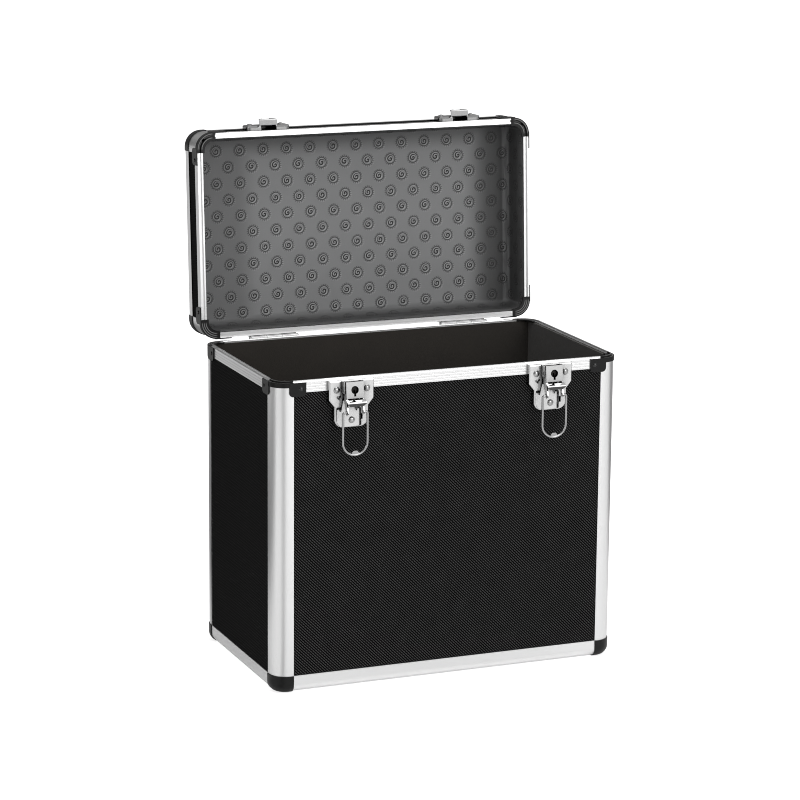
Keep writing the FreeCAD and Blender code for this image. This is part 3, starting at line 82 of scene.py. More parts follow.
def write_size(stage_name, store):
    low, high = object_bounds()
    store[stage_name] = {"low": [round(v, 6) for v in low], "high": [round(v, 6) for v in high]}


sizes = {}
write_size("cad", sizes)


# Node graphs
class Graph:
    """The node tree of a material or a world, with short ways to build it."""

    def __init__(self, owner, output="ShaderNodeOutputMaterial"):
        self.owner = owner
        owner.use_nodes = True
        self.tree = owner.node_tree
        self.tree.nodes.clear()
        self.output = self.tree.nodes.new(output)
        self.places = self.tree.nodes.new("ShaderNodeTexCoord").outputs
        self.coords = self.places["Object"]

    def put(self, socket, value):
        if isinstance(value, bpy.types.NodeSocket):
            self.tree.links.new(value, socket)
        else:
            socket.default_value = value

    def node(self, kind, settings=(), **inputs):
        made = self.tree.nodes.new(kind)
        for key, value in dict(settings).items():
            setattr(made, key, value)
        for key, value in inputs.items():
            self.put(made.inputs[key.replace("_", " ")], value)
        return made

    def math(self, operation, *values, clamp=False):
        made = self.node("ShaderNodeMath", {"operation": operation, "use_clamp": clamp})
        for socket, value in zip(made.inputs, values):
            self.put(socket, value)
        return made.outputs[0]

    def add(self, a, b):
        return self.math("ADD", a, b)

    def subtract(self, a, b):
        return self.math("SUBTRACT", a, b)

    def times(self, a, b):
        return self.math("MULTIPLY", a, b)

    def most(self, first, *others):
        """The highest of some values."""
        for other in others:
            first = self.math("MAXIMUM", first, other)
        return first

    def weighed(self, start, *shares):
        """A start value with a share of each other value added."""
        for value, share in shares:
            start = self.add(start, self.times(value, share))
        return start

    def apart(self, a, b):
        return self.math("ABSOLUTE", self.subtract(a, b))

    def off_middle(self, value):
        """How far a value is from the middle of its whole step."""
        return self.apart(self.math("FRACT", value), 0.5)

    def length(self, x, y):
        return self.math("SQRT", self.add(self.times(x, x), self.times(y, y)))

    def ramp(self, value, low, high, to_low=0.0, to_high=1.0, kind="SMOOTHSTEP"):
        """From one result to another between two ends, which the named pairs below hold."""
        made = self.node("ShaderNodeMapRange", {"interpolation_type": kind})
        for socket, number in zip(made.inputs, (value, low, high, to_low, to_high)):
            self.put(socket, number)
        return made.outputs[0]

    def fade(self, value, low, high, full=1.0):
        """Full below the low value and nothing above the high one."""
        return self.ramp(value, low, high, full, 0.0)

    def mix(self, share, a, b):
        made = self.node("ShaderNodeMix", {"data_type": "RGBA"})
        self.put(made.inputs[0], share)
        self.put(made.inputs[6], a)
        self.put(made.inputs[7], b)
        return made.outputs[2]

    def split(self, vector):
        return self.node("ShaderNodeSeparateXYZ", Vector=vector).outputs

    def vector_math(self, operation, vector, other):
        made = self.node("ShaderNodeVectorMath", {"operation": operation})
        self.put(made.inputs[0], vector)
        self.put(made.inputs[1], other)
        return made.outputs

    def stretched(self, vector, scales):
        return self.vector_math("MULTIPLY", vector, scales)["Vector"]

    def turned(self, angle, centre):
        """Object coordinates turned about X around a centre."""
        shift = Vector(centre) - Matrix.Rotation(angle, 3, "X") @ Vector(centre)
        inputs = {"Vector": self.coords, "Location": shift, "Rotation": (angle, 0, 0)}
        return self.node("ShaderNodeMapping", **inputs).outputs[0]

    def noise(self, vector, scale, detail, rough=0.5):
        inputs = {"Vector": vector, "Scale": scale, "Detail": detail, "Roughness": rough}
        return self.node("ShaderNodeTexNoise", **inputs).outputs[0]

    def bump(self, height, distance, strength):
        inputs = {"Height": height, "Distance": distance, "Strength": strength}
        return self.node("ShaderNodeBump", **inputs).outputs[0]

    def ray(self, kind):
        """One for the rays of a kind, and zero for the others."""
        return self.node("ShaderNodeLightPath").outputs[kind]

    def show(self, shader):
        self.tree.links.new(shader.outputs[0], self.output.inputs["Surface"])

    def surface(self, color, roughness, **values):
        inputs = {"Base_Color": color, "Roughness": roughness, **values}
        self.show(self.node("ShaderNodeBsdfPrincipled", **inputs))
        return self.owner


def material_graph(name):
    return Graph(bpy.data.materials.new(name))


def gray(value, warm=0.0):
    """A gray tone, warmer by a share, or cooler by a negative one."""
    return (value * (1 + warm), value, value * (1 - warm), 1.0)


def coords_for(graph, shell):
    """Coordinates of the case, or of the closed lid."""
    return graph.turned(LID_OPEN, LID_CENTRE) if shell == "lid" else graph.coords


# Aluminium: anodised, with lines along the extrusion and shallow grooves in the rim faces, which
# get painted shade; the step of the lid rails next to the board gets painted shade with some dirt
ALUMINIUM_LIGHT = gray(0.90)
ALUMINIUM_DULL = gray(0.74)
ALUMINIUM_ROUGH = 0.20
ALUMINIUM_RELIEF = 0.02 * MM
LINE_FINE = 900
LINE_LONG = 3
GROOVE_HALF = (0.15 * MM, 0.45 * MM)
RIM_GROOVE_SHADE = gray(0.25)
RIM_GROOVE_SHADE_SHARE = 0.16
GROOVE_DEPTH = 7.0
# Painted shade, with some dirt, on the step of the lid rails next to the board
RAIL_STEP_SHADE = gray(0.02)


def aluminium(name, shell, along, grooves=(), painted_shade_below=None):
    graph = material_graph(name)
    vector = coords_for(graph, shell)
    z = graph.split(vector)[2]
    scales = [LINE_LONG if axis == along else LINE_FINE for axis in "xyz"]
    lines = graph.noise(graph.stretched(vector, scales), scale=1.0, detail=2.0)
    broad = graph.noise(vector, scale=9.0, detail=2.0)
    grain = graph.noise(vector, scale=1400.0, detail=2.0)
    tone = graph.weighed(0.0, (lines, 0.08), (broad, 0.05))
    color = graph.mix(tone, ALUMINIUM_LIGHT, ALUMINIUM_DULL)
    rough = graph.weighed(ALUMINIUM_ROUGH, (lines, 0.12), (broad, 0.10))
    height = graph.weighed(0.0, (lines, 0.35), (grain, 0.25))
    if grooves:
        cut = graph.most(*(graph.fade(graph.apart(z, place), *GROOVE_HALF) for place in grooves))
        # Painted shade darkens the grooves
        color = graph.mix(graph.times(cut, RIM_GROOVE_SHADE_SHARE), color, RIM_GROOVE_SHADE)
        height = graph.weighed(height, (cut, -GROOVE_DEPTH))
    # Painted shade, with some dirt, below a height: the step of the lid rails beside the board
    if painted_shade_below is not None:
        color = graph.mix(graph.math("LESS_THAN", z, painted_shade_below), color, RAIL_STEP_SHADE)
    normal = graph.bump(height, ALUMINIUM_RELIEF, strength=0.6)
    return graph.surface(color, rough, Normal=normal, Metallic=1.0)


# Black laminate: rows of raised dashes that run down to the right, painted lighter as a highlight;
# the side boards get their own painted lit tones
DASH_ROW = 2.1 * MM
DASH_LONG = 3.0 * MM
DASH_SIDES = (0.10, 0.32)
DASH_ENDS = (0.34, 0.47)
DASH_RELIEF = 0.22 * MM
DIAGONAL = math.sqrt(0.5)
FIRST_ROW = 400.0
BASE_TONE = 0.0022
DASH_HIGHLIGHT = 0.066
SIDE_LIT_BASE = 0.0095
SIDE_DASH_HIGHLIGHT = 0.026
LAMINATE_ROUGH = 0.70
LAMINATE_SPECULAR = 0.008


def cycle(graph, row, count, step):
    """A value that grows by a step from row to row, and starts again after a count of rows.

    The number of the first row keeps all others above zero.
    """
    number = graph.add(graph.math("FLOOR", row), FIRST_ROW)
    return graph.times(graph.math("MODULO", number, count), step)


def laminate(name, shell, across, up, base=BASE_TONE, dash_highlight=DASH_HIGHLIGHT):
    graph = material_graph(name)
    vector = coords_for(graph, shell)
    axes = graph.split(vector)
    along = graph.times(graph.subtract(axes[across], axes[up]), DIAGONAL)
    over = graph.times(graph.add(axes[across], axes[up]), DIAGONAL)
    row = graph.math("DIVIDE", over, DASH_ROW)
    step = graph.add(graph.math("DIVIDE", along, DASH_LONG), cycle(graph, row, 2, 0.5))
    ridge = graph.fade(graph.off_middle(row), *DASH_SIDES)
    dash = graph.times(ridge, graph.fade(graph.off_middle(step), *DASH_ENDS))
    cloud = graph.noise(vector, scale=60.0, detail=4.0)
    grain = graph.noise(vector, scale=1500.0, detail=2.0)
    tone = graph.times(dash, graph.weighed(0.65, (cloud, 0.5)))
    # The dashes carry a painted highlight; the side boards take lighter painted base tones
    color = graph.mix(tone, gray(base), gray(dash_highlight))
    rough = graph.weighed(LAMINATE_ROUGH, (cloud, 0.12), (dash, -0.15))
    normal = graph.bump(graph.weighed(dash, (grain, 0.12)), DASH_RELIEF, strength=0.7)
    return graph.surface(color, rough, Normal=normal, Specular_IOR_Level=LAMINATE_SPECULAR)


# Black mouldings, with fine ridges round the corners on the rim faces of the brackets, the ridges
# painted light as a highlight
RIDGE_CENTRE = 16.0 * MM
RIDGES = (11.2 * MM, 13.2 * MM, 15.2 * MM)
RIDGE_HALF = (0.25 * MM, 0.60 * MM)
RIDGE_ENDS = (-1.0 * MM, 1.5 * MM)
RIDGE_DEPTH = (1.8 * MM, 2.2 * MM)
RIDGE_HIGHLIGHT = gray(0.17)
RIDGE_RISE = 6.0
MOULDING_DARK = gray(0.0025)
MOULDING_LIGHT = gray(0.00425)
MOULDING_ROUGH = 0.26
MOULDING_SPECULAR = 0.28
MOULDING_RELIEF = 0.04 * MM


def bracket_ridges(graph, shell, rim):
    """Where the ridges are, from 0 to 1."""
    x, y, z = graph.split(coords_for(graph, shell))
    beside = graph.subtract(graph.math("ABSOLUTE", x), HALF_WIDTH - RIDGE_CENTRE)
    beyond = graph.subtract(graph.apart(y, MIDDLE_Y), HALF_DEPTH - RIDGE_CENTRE)
    far = graph.length(beside, beyond)
    lines = graph.most(*(graph.fade(graph.apart(far, place), *RIDGE_HALF) for place in RIDGES))
    corner = graph.ramp(graph.math("MINIMUM", beside, beyond), *RIDGE_ENDS)
    on_rim = graph.fade(graph.apart(z, rim), *RIDGE_DEPTH)
    return graph.times(lines, graph.times(corner, on_rim))


def moulding(name, shell=None, rim=0.0):
    graph = material_graph(name)
    grain = graph.noise(graph.coords, scale=900.0, detail=3.0)
    cloud = graph.noise(graph.coords, scale=35.0, detail=3.0)
    color = graph.mix(cloud, MOULDING_DARK, MOULDING_LIGHT)
    height = graph.weighed(grain, (cloud, 0.4))
    if shell:
        ridges = bracket_ridges(graph, shell, rim)
        # Painted highlight on the ridges
        color = graph.mix(ridges, color, RIDGE_HIGHLIGHT)
        height = graph.weighed(height, (ridges, RIDGE_RISE))
    rough = graph.weighed(MOULDING_ROUGH, (cloud, 0.14))
    normal = graph.bump(height, MOULDING_RELIEF, strength=0.5)
    return graph.surface(color, rough, Normal=normal, Specular_IOR_Level=MOULDING_SPECULAR)


# Plated metal: how far its hollows reach for the painted shade in them, and its dark tones, painted
# shade among them, as shares of its own tone
CREVICE = 14.0 * MM
CREVICE_SAMPLES = 6
CREVICE_OPEN = (0.40, 0.94)
CREVICE_SHADE = 0.03
WORN_TONE = 0.7
WORN_SHARE = 0.35
FAR_TONE = 0.12
LIP_UNDERSIDE_SHADE = 0.04
BELOW_FACING = (0.05, 0.50)
LIP_UNDERSIDE_SHADE_SHARE = 0.92
PLATING_RELIEF = 0.03 * MM


def plated(name, tone=0.80, shine=0.06, tint=0.0, wear=0.06, dark_beyond=None, painted_shade_ahead=None):
    """Metal with painted shade in its hollows.

    It can be dark far from the middle, and has painted shade on its lower faces ahead of a plane.
    """
    graph = material_graph(name)
    x, y, _ = graph.split(graph.coords)
    grain = graph.noise(graph.coords, scale=420.0, detail=4.0)
    cloud = graph.noise(graph.coords, scale=90.0, detail=4.0)
    worn = graph.times(cloud, WORN_SHARE)
    color = graph.mix(worn, gray(tone, tint), gray(tone * WORN_TONE, tint))
    settings = {"samples": CREVICE_SAMPLES}
    # Painted shade: darker where the metal is hollow, by ambient occlusion
    hollow = graph.node("ShaderNodeAmbientOcclusion", settings, Distance=CREVICE)
    open_share = graph.ramp(hollow.outputs["AO"], *CREVICE_OPEN)
    color = graph.mix(open_share, gray(tone * CREVICE_SHADE), color)
    if dark_beyond is not None:
        far = graph.math("GREATER_THAN", graph.math("ABSOLUTE", x), dark_beyond)
        color = graph.mix(far, color, gray(tone * FAR_TONE))
    # Painted shade and dark reflection on the faces that look down, ahead of a plane: under the lip
    # of the lever
    if painted_shade_ahead is not None:
        ahead = graph.math("LESS_THAN", y, painted_shade_ahead)
        facing = graph.split(graph.places["Normal"])[2]
        below = graph.times(ahead, graph.fade(facing, *BELOW_FACING, full=LIP_UNDERSIDE_SHADE_SHARE))
        color = graph.mix(below, color, gray(tone * LIP_UNDERSIDE_SHADE))
    rough = graph.weighed(shine, (cloud, wear))
    normal = graph.bump(graph.weighed(grain, (cloud, 2.0)), PLATING_RELIEF, strength=0.12)
    return graph.surface(color, rough, Normal=normal, Metallic=1.0)


# Dark felt
FELT_DARK = gray(0.010, 0.18)
FELT_LIGHT = gray(0.032, 0.18)
FELT_ROUGH = 0.82
FELT_SHEEN = 0.35
FELT_SHEEN_ROUGH = 0.5
FELT_SPECULAR = 0.2
FELT_RELIEF = 0.3 * MM


def felt(name):
    graph = material_graph(name)
    fibre = graph.noise(graph.coords, scale=1100.0, detail=5.0, rough=0.7)
    cloud = graph.noise(graph.coords, scale=28.0, detail=4.0)
    color = graph.mix(graph.times(graph.add(fibre, cloud), 0.5), FELT_DARK, FELT_LIGHT)
    rough = graph.weighed(FELT_ROUGH, (cloud, 0.12))
    normal = graph.bump(fibre, FELT_RELIEF, strength=0.6)
    sheen = {"Sheen_Weight": FELT_SHEEN, "Sheen_Roughness": FELT_SHEEN_ROUGH}
    return graph.surface(color, rough, Normal=normal, Specular_IOR_Level=FELT_SPECULAR, **sheen)


# Embossing of the foam: spirals, each in a ring and a ring of dashes
SPIRAL_ACROSS = 25.2 * MM
SPIRAL_UP = 16.5 * MM
SPIRAL_SIDE = 9.5 * MM + SPIRAL_ACROSS / 2
SPIRAL_RISE = 6.4 * MM
SPIRAL_TURN = 2.7 * MM
SPIRAL_GROOVE = (0.19, 0.28)
SPIRAL_REACH = (3.22 * MM, 3.675 * MM)
SPIRAL_TILT = 0.9
RING_AT = 5.1 * MM
RING_HALF = (0.35 * MM, 0.60 * MM)
RING_DEPTH = 0.75
DOTS_AT = 6.3 * MM
DOTS_HALF = (0.25 * MM, 0.50 * MM)
DOTS_DEPTH = 0.60
DOTS_LONG = (0.18, 0.34)
DOT_COUNT = 18


def embossing(graph, u, v):
    """Depth of the embossed grooves over a plane, from 0 to 1."""
    row = graph.math("DIVIDE", v, SPIRAL_UP)
    column = graph.add(graph.math("DIVIDE", u, SPIRAL_ACROSS), cycle(graph, row, 2, 0.5))
    x = graph.times(graph.subtract(graph.math("FRACT", column), 0.5), SPIRAL_ACROSS)
    y = graph.times(graph.subtract(graph.math("FRACT", row), 0.5), SPIRAL_UP)
    far = graph.length(x, y)
    angle = graph.add(graph.math("ARCTAN2", y, x), cycle(graph, row, 3, SPIRAL_TILT))
    turns = graph.math("DIVIDE", angle, TURN)
    phase = graph.subtract(graph.math("DIVIDE", far, SPIRAL_TURN), turns)
    spiral = graph.fade(graph.off_middle(phase), *SPIRAL_GROOVE)
    spiral = graph.times(spiral, graph.fade(far, *SPIRAL_REACH))
    ring = graph.fade(graph.apart(far, RING_AT), *RING_HALF, full=RING_DEPTH)
    dots = graph.fade(graph.apart(far, DOTS_AT), *DOTS_HALF, full=DOTS_DEPTH)
    beat = graph.off_middle(graph.times(turns, DOT_COUNT))
    dots = graph.times(dots, graph.fade(beat, *DOTS_LONG))
    return graph.most(spiral, ring, dots)


# Foam liner of the lid: its faces, from the outer planes, and the radii of its folds
FOAM_WALL = 6.7 * MM
FOAM_BACK = 5.6 * MM
FOAM_FACE = LID_TOP - 7.9 * MM
FOAM_BEHIND = LID_TOP - 5.6 * MM
FOAM_RIM = LID_RIM + 1.5 * MM
FOAM_FOLD = 7.0 * MM
FOAM_CORNER = 9.0 * MM
FOAM_BEND = FOAM_WALL + FOAM_FOLD

# Shades of the foam: where each starts and is full, from the outer plane, and how deep it is
SHADE_RIGHT = (58.0 * MM, 28.0 * MM, 0.80)
SHADE_LEFT = (78.0 * MM, 50.0 * MM, 0.38)
SHADE_WALL = (FOAM_WALL + 1.5 * MM, FOAM_WALL + 0.3 * MM, 0.86)
SHADE_FRONT = (34.0 * MM, 13.0 * MM, 0.50)
SHADE_FOLD = (13.0 * MM, 11.5 * MM, 0.85)
SHADE_BACK = (17.0 * MM, 9.0 * MM, 0.85)
BEND_LIGHT = (FOAM_BEND + 1.0 * MM, FOAM_BEND - 1.5 * MM, 0.42)
CREASE_SCALES = (260, 40, 260)
CREASE_SHARE = (0.35, 0.60, 0.3, 1.0)

# Tones of the foam, with painted shade in its grooves and a painted highlight beside them, and the
# shift between the grooves and the highlight
FOAM_DARK = gray(0.175, -0.01)
FOAM_LIGHT = gray(0.265, -0.01)
FOAM_LIT = gray(0.42)
FOAM_GROOVE_SHADE = gray(0.008)
FOAM_SHADE = gray(0.03)
LIT_SHARE = 0.62
LIT_SHIFT = 0.9 * MM
FOAM_GROOVE_SHADE_SHARE = 0.97
FOAM_ROUGH = 0.50
FOAM_SPECULAR = 0.45
FOAM_RELIEF = 0.5 * MM


def foam(name):
    """The pattern runs from the flat pad up its walls, as one folded sheet."""
    graph = material_graph(name)
    vector = coords_for(graph, "lid")
    x, y, z = graph.split(vector)
    y = graph.subtract(y, MIDDLE_Y)
    drop = graph.subtract(FOAM_FACE, z)

    def unfolded(place, half):
        """The place along the sheet, with the height up the wall added past the fold."""
        past = graph.math("GREATER_THAN", graph.math("ABSOLUTE", place), half - FOAM_BEND)
        return graph.add(place, graph.times(graph.times(past, drop), graph.math("SIGN", place)))

    def shade(place, half, start, full, depth):
        return graph.ramp(place, half - start, half - full, 0.0, depth)

    u = graph.add(unfolded(x, HALF_WIDTH), SPIRAL_SIDE)
    v = graph.add(unfolded(y, HALF_DEPTH), SPIRAL_RISE)
    sunk = embossing(graph, u, v)
    lit = embossing(graph, graph.subtract(u, LIT_SHIFT), graph.subtract(v, LIT_SHIFT))
    lit = graph.math("SUBTRACT", lit, sunk, clamp=True)
    cloud = graph.noise(vector, scale=18.0, detail=3.0)
    grain = graph.noise(vector, scale=1300.0, detail=3.0)
    tone = graph.weighed(0.0, (cloud, 0.6), (grain, 0.35))
    color = graph.mix(tone, FOAM_DARK, FOAM_LIGHT)
    # Painted highlight beside the grooves, then painted shade in them
    color = graph.mix(graph.times(lit, LIT_SHARE), color, FOAM_LIT)
    color = graph.mix(graph.times(sunk, FOAM_GROOVE_SHADE_SHARE), color, FOAM_GROOVE_SHADE)
    crease = graph.noise(graph.stretched(vector, CREASE_SCALES), scale=1.0, detail=3.0)
    bend = graph.times(shade(x, HALF_WIDTH, *BEND_LIGHT), graph.ramp(crease, *CREASE_SHARE))
    leftward = graph.times(x, -1.0)
    forward = graph.times(y, -1.0)
    shades = (
        graph.subtract(shade(x, HALF_WIDTH, *SHADE_RIGHT), bend),
        shade(leftward, HALF_WIDTH, *SHADE_LEFT),
        shade(x, HALF_WIDTH, *SHADE_WALL),
        shade(forward, HALF_DEPTH, *SHADE_FRONT),
        shade(forward, HALF_DEPTH, *SHADE_FOLD),
        shade(y, HALF_DEPTH, *SHADE_BACK),
    )
    color = graph.mix(graph.most(*shades), color, FOAM_SHADE)
    height = graph.subtract(graph.times(grain, 0.08), sunk)
    normal = graph.bump(height, FOAM_RELIEF, strength=0.9)
    rough = graph.weighed(FOAM_ROUGH, (cloud, 0.15))
    return graph.surface(color, rough, Normal=normal, Specular_IOR_Level=FOAM_SPECULAR)


# Black rubber
RUBBER_DARK = gray(0.014)
RUBBER_LIGHT = gray(0.026)
RUBBER_ROUGH = 0.50
RUBBER_RELIEF = 0.08 * MM


def rubber(name):
    graph = material_graph(name)
    grain = graph.noise(graph.coords, scale=700.0, detail=4.0)
    cloud = graph.noise(graph.coords, scale=50.0, detail=3.0)
    color = graph.mix(cloud, RUBBER_DARK, RUBBER_LIGHT)
    rough = graph.weighed(RUBBER_ROUGH, (cloud, 0.2))
    normal = graph.bump(grain, RUBBER_RELIEF, strength=0.6)
    return graph.surface(color, rough, Normal=normal)


# Materials of the nodes
# Below this height the lid rails get painted shade, with some dirt
LID_RAIL_EDGE = LID_TOP - 16.7 * MM
# Ahead of this plane the lever gets painted shade on its lower faces
LIP_AHEAD = FRONT_Y - 16.6 * MM
CORNER_RIVETS = HALF_WIDTH - 35.0 * MM
RIM_GROOVES = (RIM - 2.7 * MM, RIM - 5.2 * MM, RIM - 7.7 * MM)
LID_GROOVES = (LID_RIM + 3.0 * MM, LID_RIM + 6.0 * MM)
X, Y, Z = range(3)
WALLS = {
    "front": "long",
    "back": "long",
    "left": "side",
    "right": "side",
    "bottom": "flat",
    "top": "flat",
}
ALONG = {"front": "x", "back": "x", "left": "y", "right": "y"}


def finishes():
    """The materials, by what they are for."""
    table = {}
    for shell, grooves in (("case", RIM_GROOVES), ("lid", LID_GROOVES)):
        for along in "xyz":
            edge = LID_RAIL_EDGE if shell == "lid" and along != "z" else None
            name = f"aluminium_{shell}_{along}"
            table[shell, along] = aluminium(name, shell, along, painted_shade_below=edge)
        for along in "xy":
            name = f"aluminium_rim_{shell}_{along}"
            table[shell, along, "rim"] = aluminium(name, shell, along, grooves)
        table[shell, "long"] = laminate(f"laminate_{shell}_long", shell, X, Z)
        # Side boards: a copy of the laminate with painted lit tones
        table[shell, "side"] = laminate(f"laminate_{shell}_side", shell, Y, Z, SIDE_LIT_BASE, SIDE_DASH_HIGHLIGHT)
        table[shell, "flat"] = laminate(f"laminate_{shell}_flat", shell, X, Y)
    table["black"] = moulding("black_moulding")
    table["case", "bracket"] = moulding("case_bracket_moulding", "case", RIM)
    table["lid", "bracket"] = moulding("lid_bracket_moulding", "lid", LID_RIM)
    table["chrome"] = plated("bright_plating")
    table["lever"] = plated("lever_plating", painted_shade_ahead=LIP_AHEAD)
    table["wire"] = plated("wire_plating", tone=0.46)
    table["catch"] = plated("catch_plating", tone=0.46)
    table["rivet"] = plated("rivet_plating", tone=0.50, dark_beyond=CORNER_RIVETS)
    table["steel"] = plated("hinge_plating", tone=0.62, shine=0.24, wear=0.2)
    # Lock metal near black: painted shade, standing in for the dark inside the keyhole
    table["lock"] = plated("lock_metal", tone=0.05, shine=0.40, tint=0.05, wear=0.2)
    table["felt"] = felt("case_felt")
    table["foam"] = foam("lid_foam")
    table["grip"] = rubber("grip_rubber")
    return table


def finish_of(node, table):
    shell = "lid" if node.startswith("lid_") else "case"
    words = node.split("_")
    if "post" in words or "posts" in words:
        return table[shell, "z"]
    if "rim" in words and "rail" in words:
        return table[shell, ALONG[words[-1]], "rim"]
    if "rail" in words:
        return table[shell, ALONG[words[-1]]]
    if words[-1] == "board":
        return table[shell, WALLS[words[1]]]
    if words[-1] == "brackets":
        return table[shell, "bracket"]
    if words[-1] == "caps":
        return table["black"]
    if node in ("lid_wall_lining", "lid_pad"):
        return table["foam"]
    if node == "case_lining":
        return table["felt"]
    if node == "handle_grip":
        return table["grip"]
    if words[0] == "lock":
        return table["lock"]
    if words[0] in ("hinge", "handle"):
        return table["steel"]
    if words[-1] == "rivets":
        return table["rivet"]
    if words[1] in ("lever", "catch"):
        return table[words[1]]
    if words[1] == "bail":
        return table["wire"]
    return table["chrome"]


def dress_nodes():
    table = finishes()
    for name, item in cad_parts.items():
        item.data.materials.clear()
        item.data.materials.append(finish_of(name, table))


dress_nodes()


# Foam liner of the lid, one closed form with folds along the pad and in the corners
LINER_STEP = 6.0 * MM
ARC_STEPS = 8
PUFF = 1.1 * MM
PUFF_SEED = 7
PUFF_WAVES = 6
FIRST_WAVE = 9
WAVE_STEP = 7
WAVE_SHIFT = 3


def rounded_loop(half_x, half_y, corner):
    """A rounded rectangle around the middle of the case, anticlockwise."""
    points = []
    for quarter, (side_x, side_y) in enumerate(((1, 1), (-1, 1), (-1, -1), (1, -1))):
        for step in range(ARC_STEPS + 1):
            angle = (quarter + step / ARC_STEPS) * TURN / 4
            x = side_x * (half_x - corner) + corner * math.cos(angle)
            y = side_y * (half_y - corner) + corner * math.sin(angle)
            points.append((x, y))
    return points


def subdivided(loop):
    """The loop with points added on its long sides."""
    out = []
    for here, after in zip(loop, loop[1:] + loop[:1]):
        count = max(1, round(math.dist(here, after) / LINER_STEP))
        for step in range(count):
            share = step / count
            out.append(tuple(a + (b - a) * share for a, b in zip(here, after)))
    return out


def fold_profile():
    """How far in and how high each row of the face is, from the rim to the pad."""
    profile = [(0.0, FOAM_RIM), (0.0, (FOAM_RIM + FOAM_FACE) / 2), (0.0, FOAM_FACE - FOAM_FOLD)]
    for step in range(1, ARC_STEPS + 1):
        angle = step / ARC_STEPS * TURN / 4
        inset = FOAM_FOLD * (1 - math.cos(angle))
        profile.append((inset, FOAM_FACE - FOAM_FOLD * (1 - math.sin(angle))))
    return profile


def liner_form():
    """Points and faces of the liner in the closed lid."""
    waves = np.random.default_rng(PUFF_SEED).normal(size=(PUFF_WAVES, 2))
    half_x = HALF_WIDTH - FOAM_WALL
    half_y = HALF_DEPTH - FOAM_WALL
    face_loop = subdivided(rounded_loop(half_x, half_y, FOAM_CORNER))
    back_corner = FOAM_CORNER + FOAM_WALL - FOAM_BACK
    back_loop = rounded_loop(HALF_WIDTH - FOAM_BACK, HALF_DEPTH - FOAM_BACK, back_corner)
    back_loop = subdivided(back_loop)
    count = len(face_loop)
    if len(back_loop) != count:
        raise RuntimeError("the two faces of the liner don't match")
    verts = []
    faces = []

    def puff(index):
        """Slow waves of the fold along its length."""
        share = index / count * TURN
        total = 0.0
        for number, (size, shift) in enumerate(waves):
            turns = FIRST_WAVE + WAVE_STEP * number
            total += size * math.sin(share * turns + shift * WAVE_SHIFT)
        return total / PUFF_WAVES

    def band(low, high):
        """A ring of faces between two rows of points."""
        for index in range(count):
            after = (index + 1) % count
            faces.append((low + index, low + after, high + after, high + index))

    profile = fold_profile()
    for inset, z in profile:
        swell = PUFF * math.sin(inset / FOAM_FOLD * TURN / 2)
        for index, (x, y) in enumerate(face_loop):
            nearest_x = max(-half_x + FOAM_CORNER, min(half_x - FOAM_CORNER, x))
            nearest_y = max(-half_y + FOAM_CORNER, min(half_y - FOAM_CORNER, y))
            away = Vector((x - nearest_x, y - nearest_y))
            moved = swell * puff(index)
            scale = (away.length - inset - moved) / away.length
            verts.append((nearest_x + away.x * scale, nearest_y + away.y * scale, z - moved))
    for row in range(len(profile) - 1):
        band(row * count, (row + 1) * count)
    back = len(verts)
    faces.append(tuple(range(back - count, back)))
    for z in (FOAM_RIM, FOAM_BEHIND):
        verts += [(x, y, z) for x, y in back_loop]
    band(back, 0)
    band(back + count, back)
    faces.append(tuple(reversed(range(back + count, back + count * 2))))
    return verts, faces


def make_liner():
    verts, faces = liner_form()
    turn = Matrix.Rotation(-LID_OPEN, 3, "X")
    centre = Vector(LID_CENTRE)
    placed = [turn @ (Vector((x, y + MIDDLE_Y, z)) - centre) + centre for x, y, z in verts]
    mesh = bpy.data.meshes.new("lid_foam_liner")
    mesh.from_pydata([tuple(place) for place in placed], [], faces)
    mesh.validate()
    for polygon in mesh.polygons:
        polygon.use_smooth = len(polygon.vertices) == 4
    liner = bpy.data.objects.new("lid_foam_liner", mesh)
    bpy.context.scene.collection.objects.link(liner)
    mesh.materials.append(foam("foam_liner"))
    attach(liner, "lid")
    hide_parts("lid_wall_lining", "lid_pad")


make_liner()


# Camera
def make_camera():
    level = Vector((math.sin(CAMERA_YAW), math.cos(CAMERA_YAW), 0.0))
    ahead = level * math.cos(CAMERA_PITCH) - Vector((0.0, 0.0, math.sin(CAMERA_PITCH)))
    side = Vector((math.cos(CAMERA_YAW), -math.sin(CAMERA_YAW), 0.0))
    above = side.cross(ahead)
    right = side * math.cos(CAMERA_ROLL) + above * math.sin(CAMERA_ROLL)
    up = above * math.cos(CAMERA_ROLL) - side * math.sin(CAMERA_ROLL)
    data = bpy.data.cameras.new("camera")
    data.lens = LENS
    data.sensor_width = SENSOR
    data.clip_start = CAMERA_NEAR
    data.clip_end = CAMERA_FAR
    camera = bpy.data.objects.new("camera", data)
    turn = Matrix((right, up, -ahead)).transposed().to_4x4()
    camera.matrix_world = Matrix.Translation(CAMERA_AT) @ turn
    bpy.context.scene.collection.objects.link(camera)
    bpy.context.scene.camera = camera


# Lights: place, target, width, height and power
MIDDLE = (0.0, MIDDLE_Y, 0.25)
LIGHTS = {
    "front_box": ((0.9, -2.6, 1.2), MIDDLE, 1.4, 1.4, 14.0),
    "left_strip": ((-2.0, -0.45, 0.60), (0.0, -0.1, 0.30), 0.16, 1.6, 2.6),
    "left_box": ((-2.4, -1.2, 1.3), MIDDLE, 0.7, 1.2, 6.0),
    "top_box": ((0.3, -0.6, 2.4), MIDDLE, 1.6, 1.2, 13.0),
}


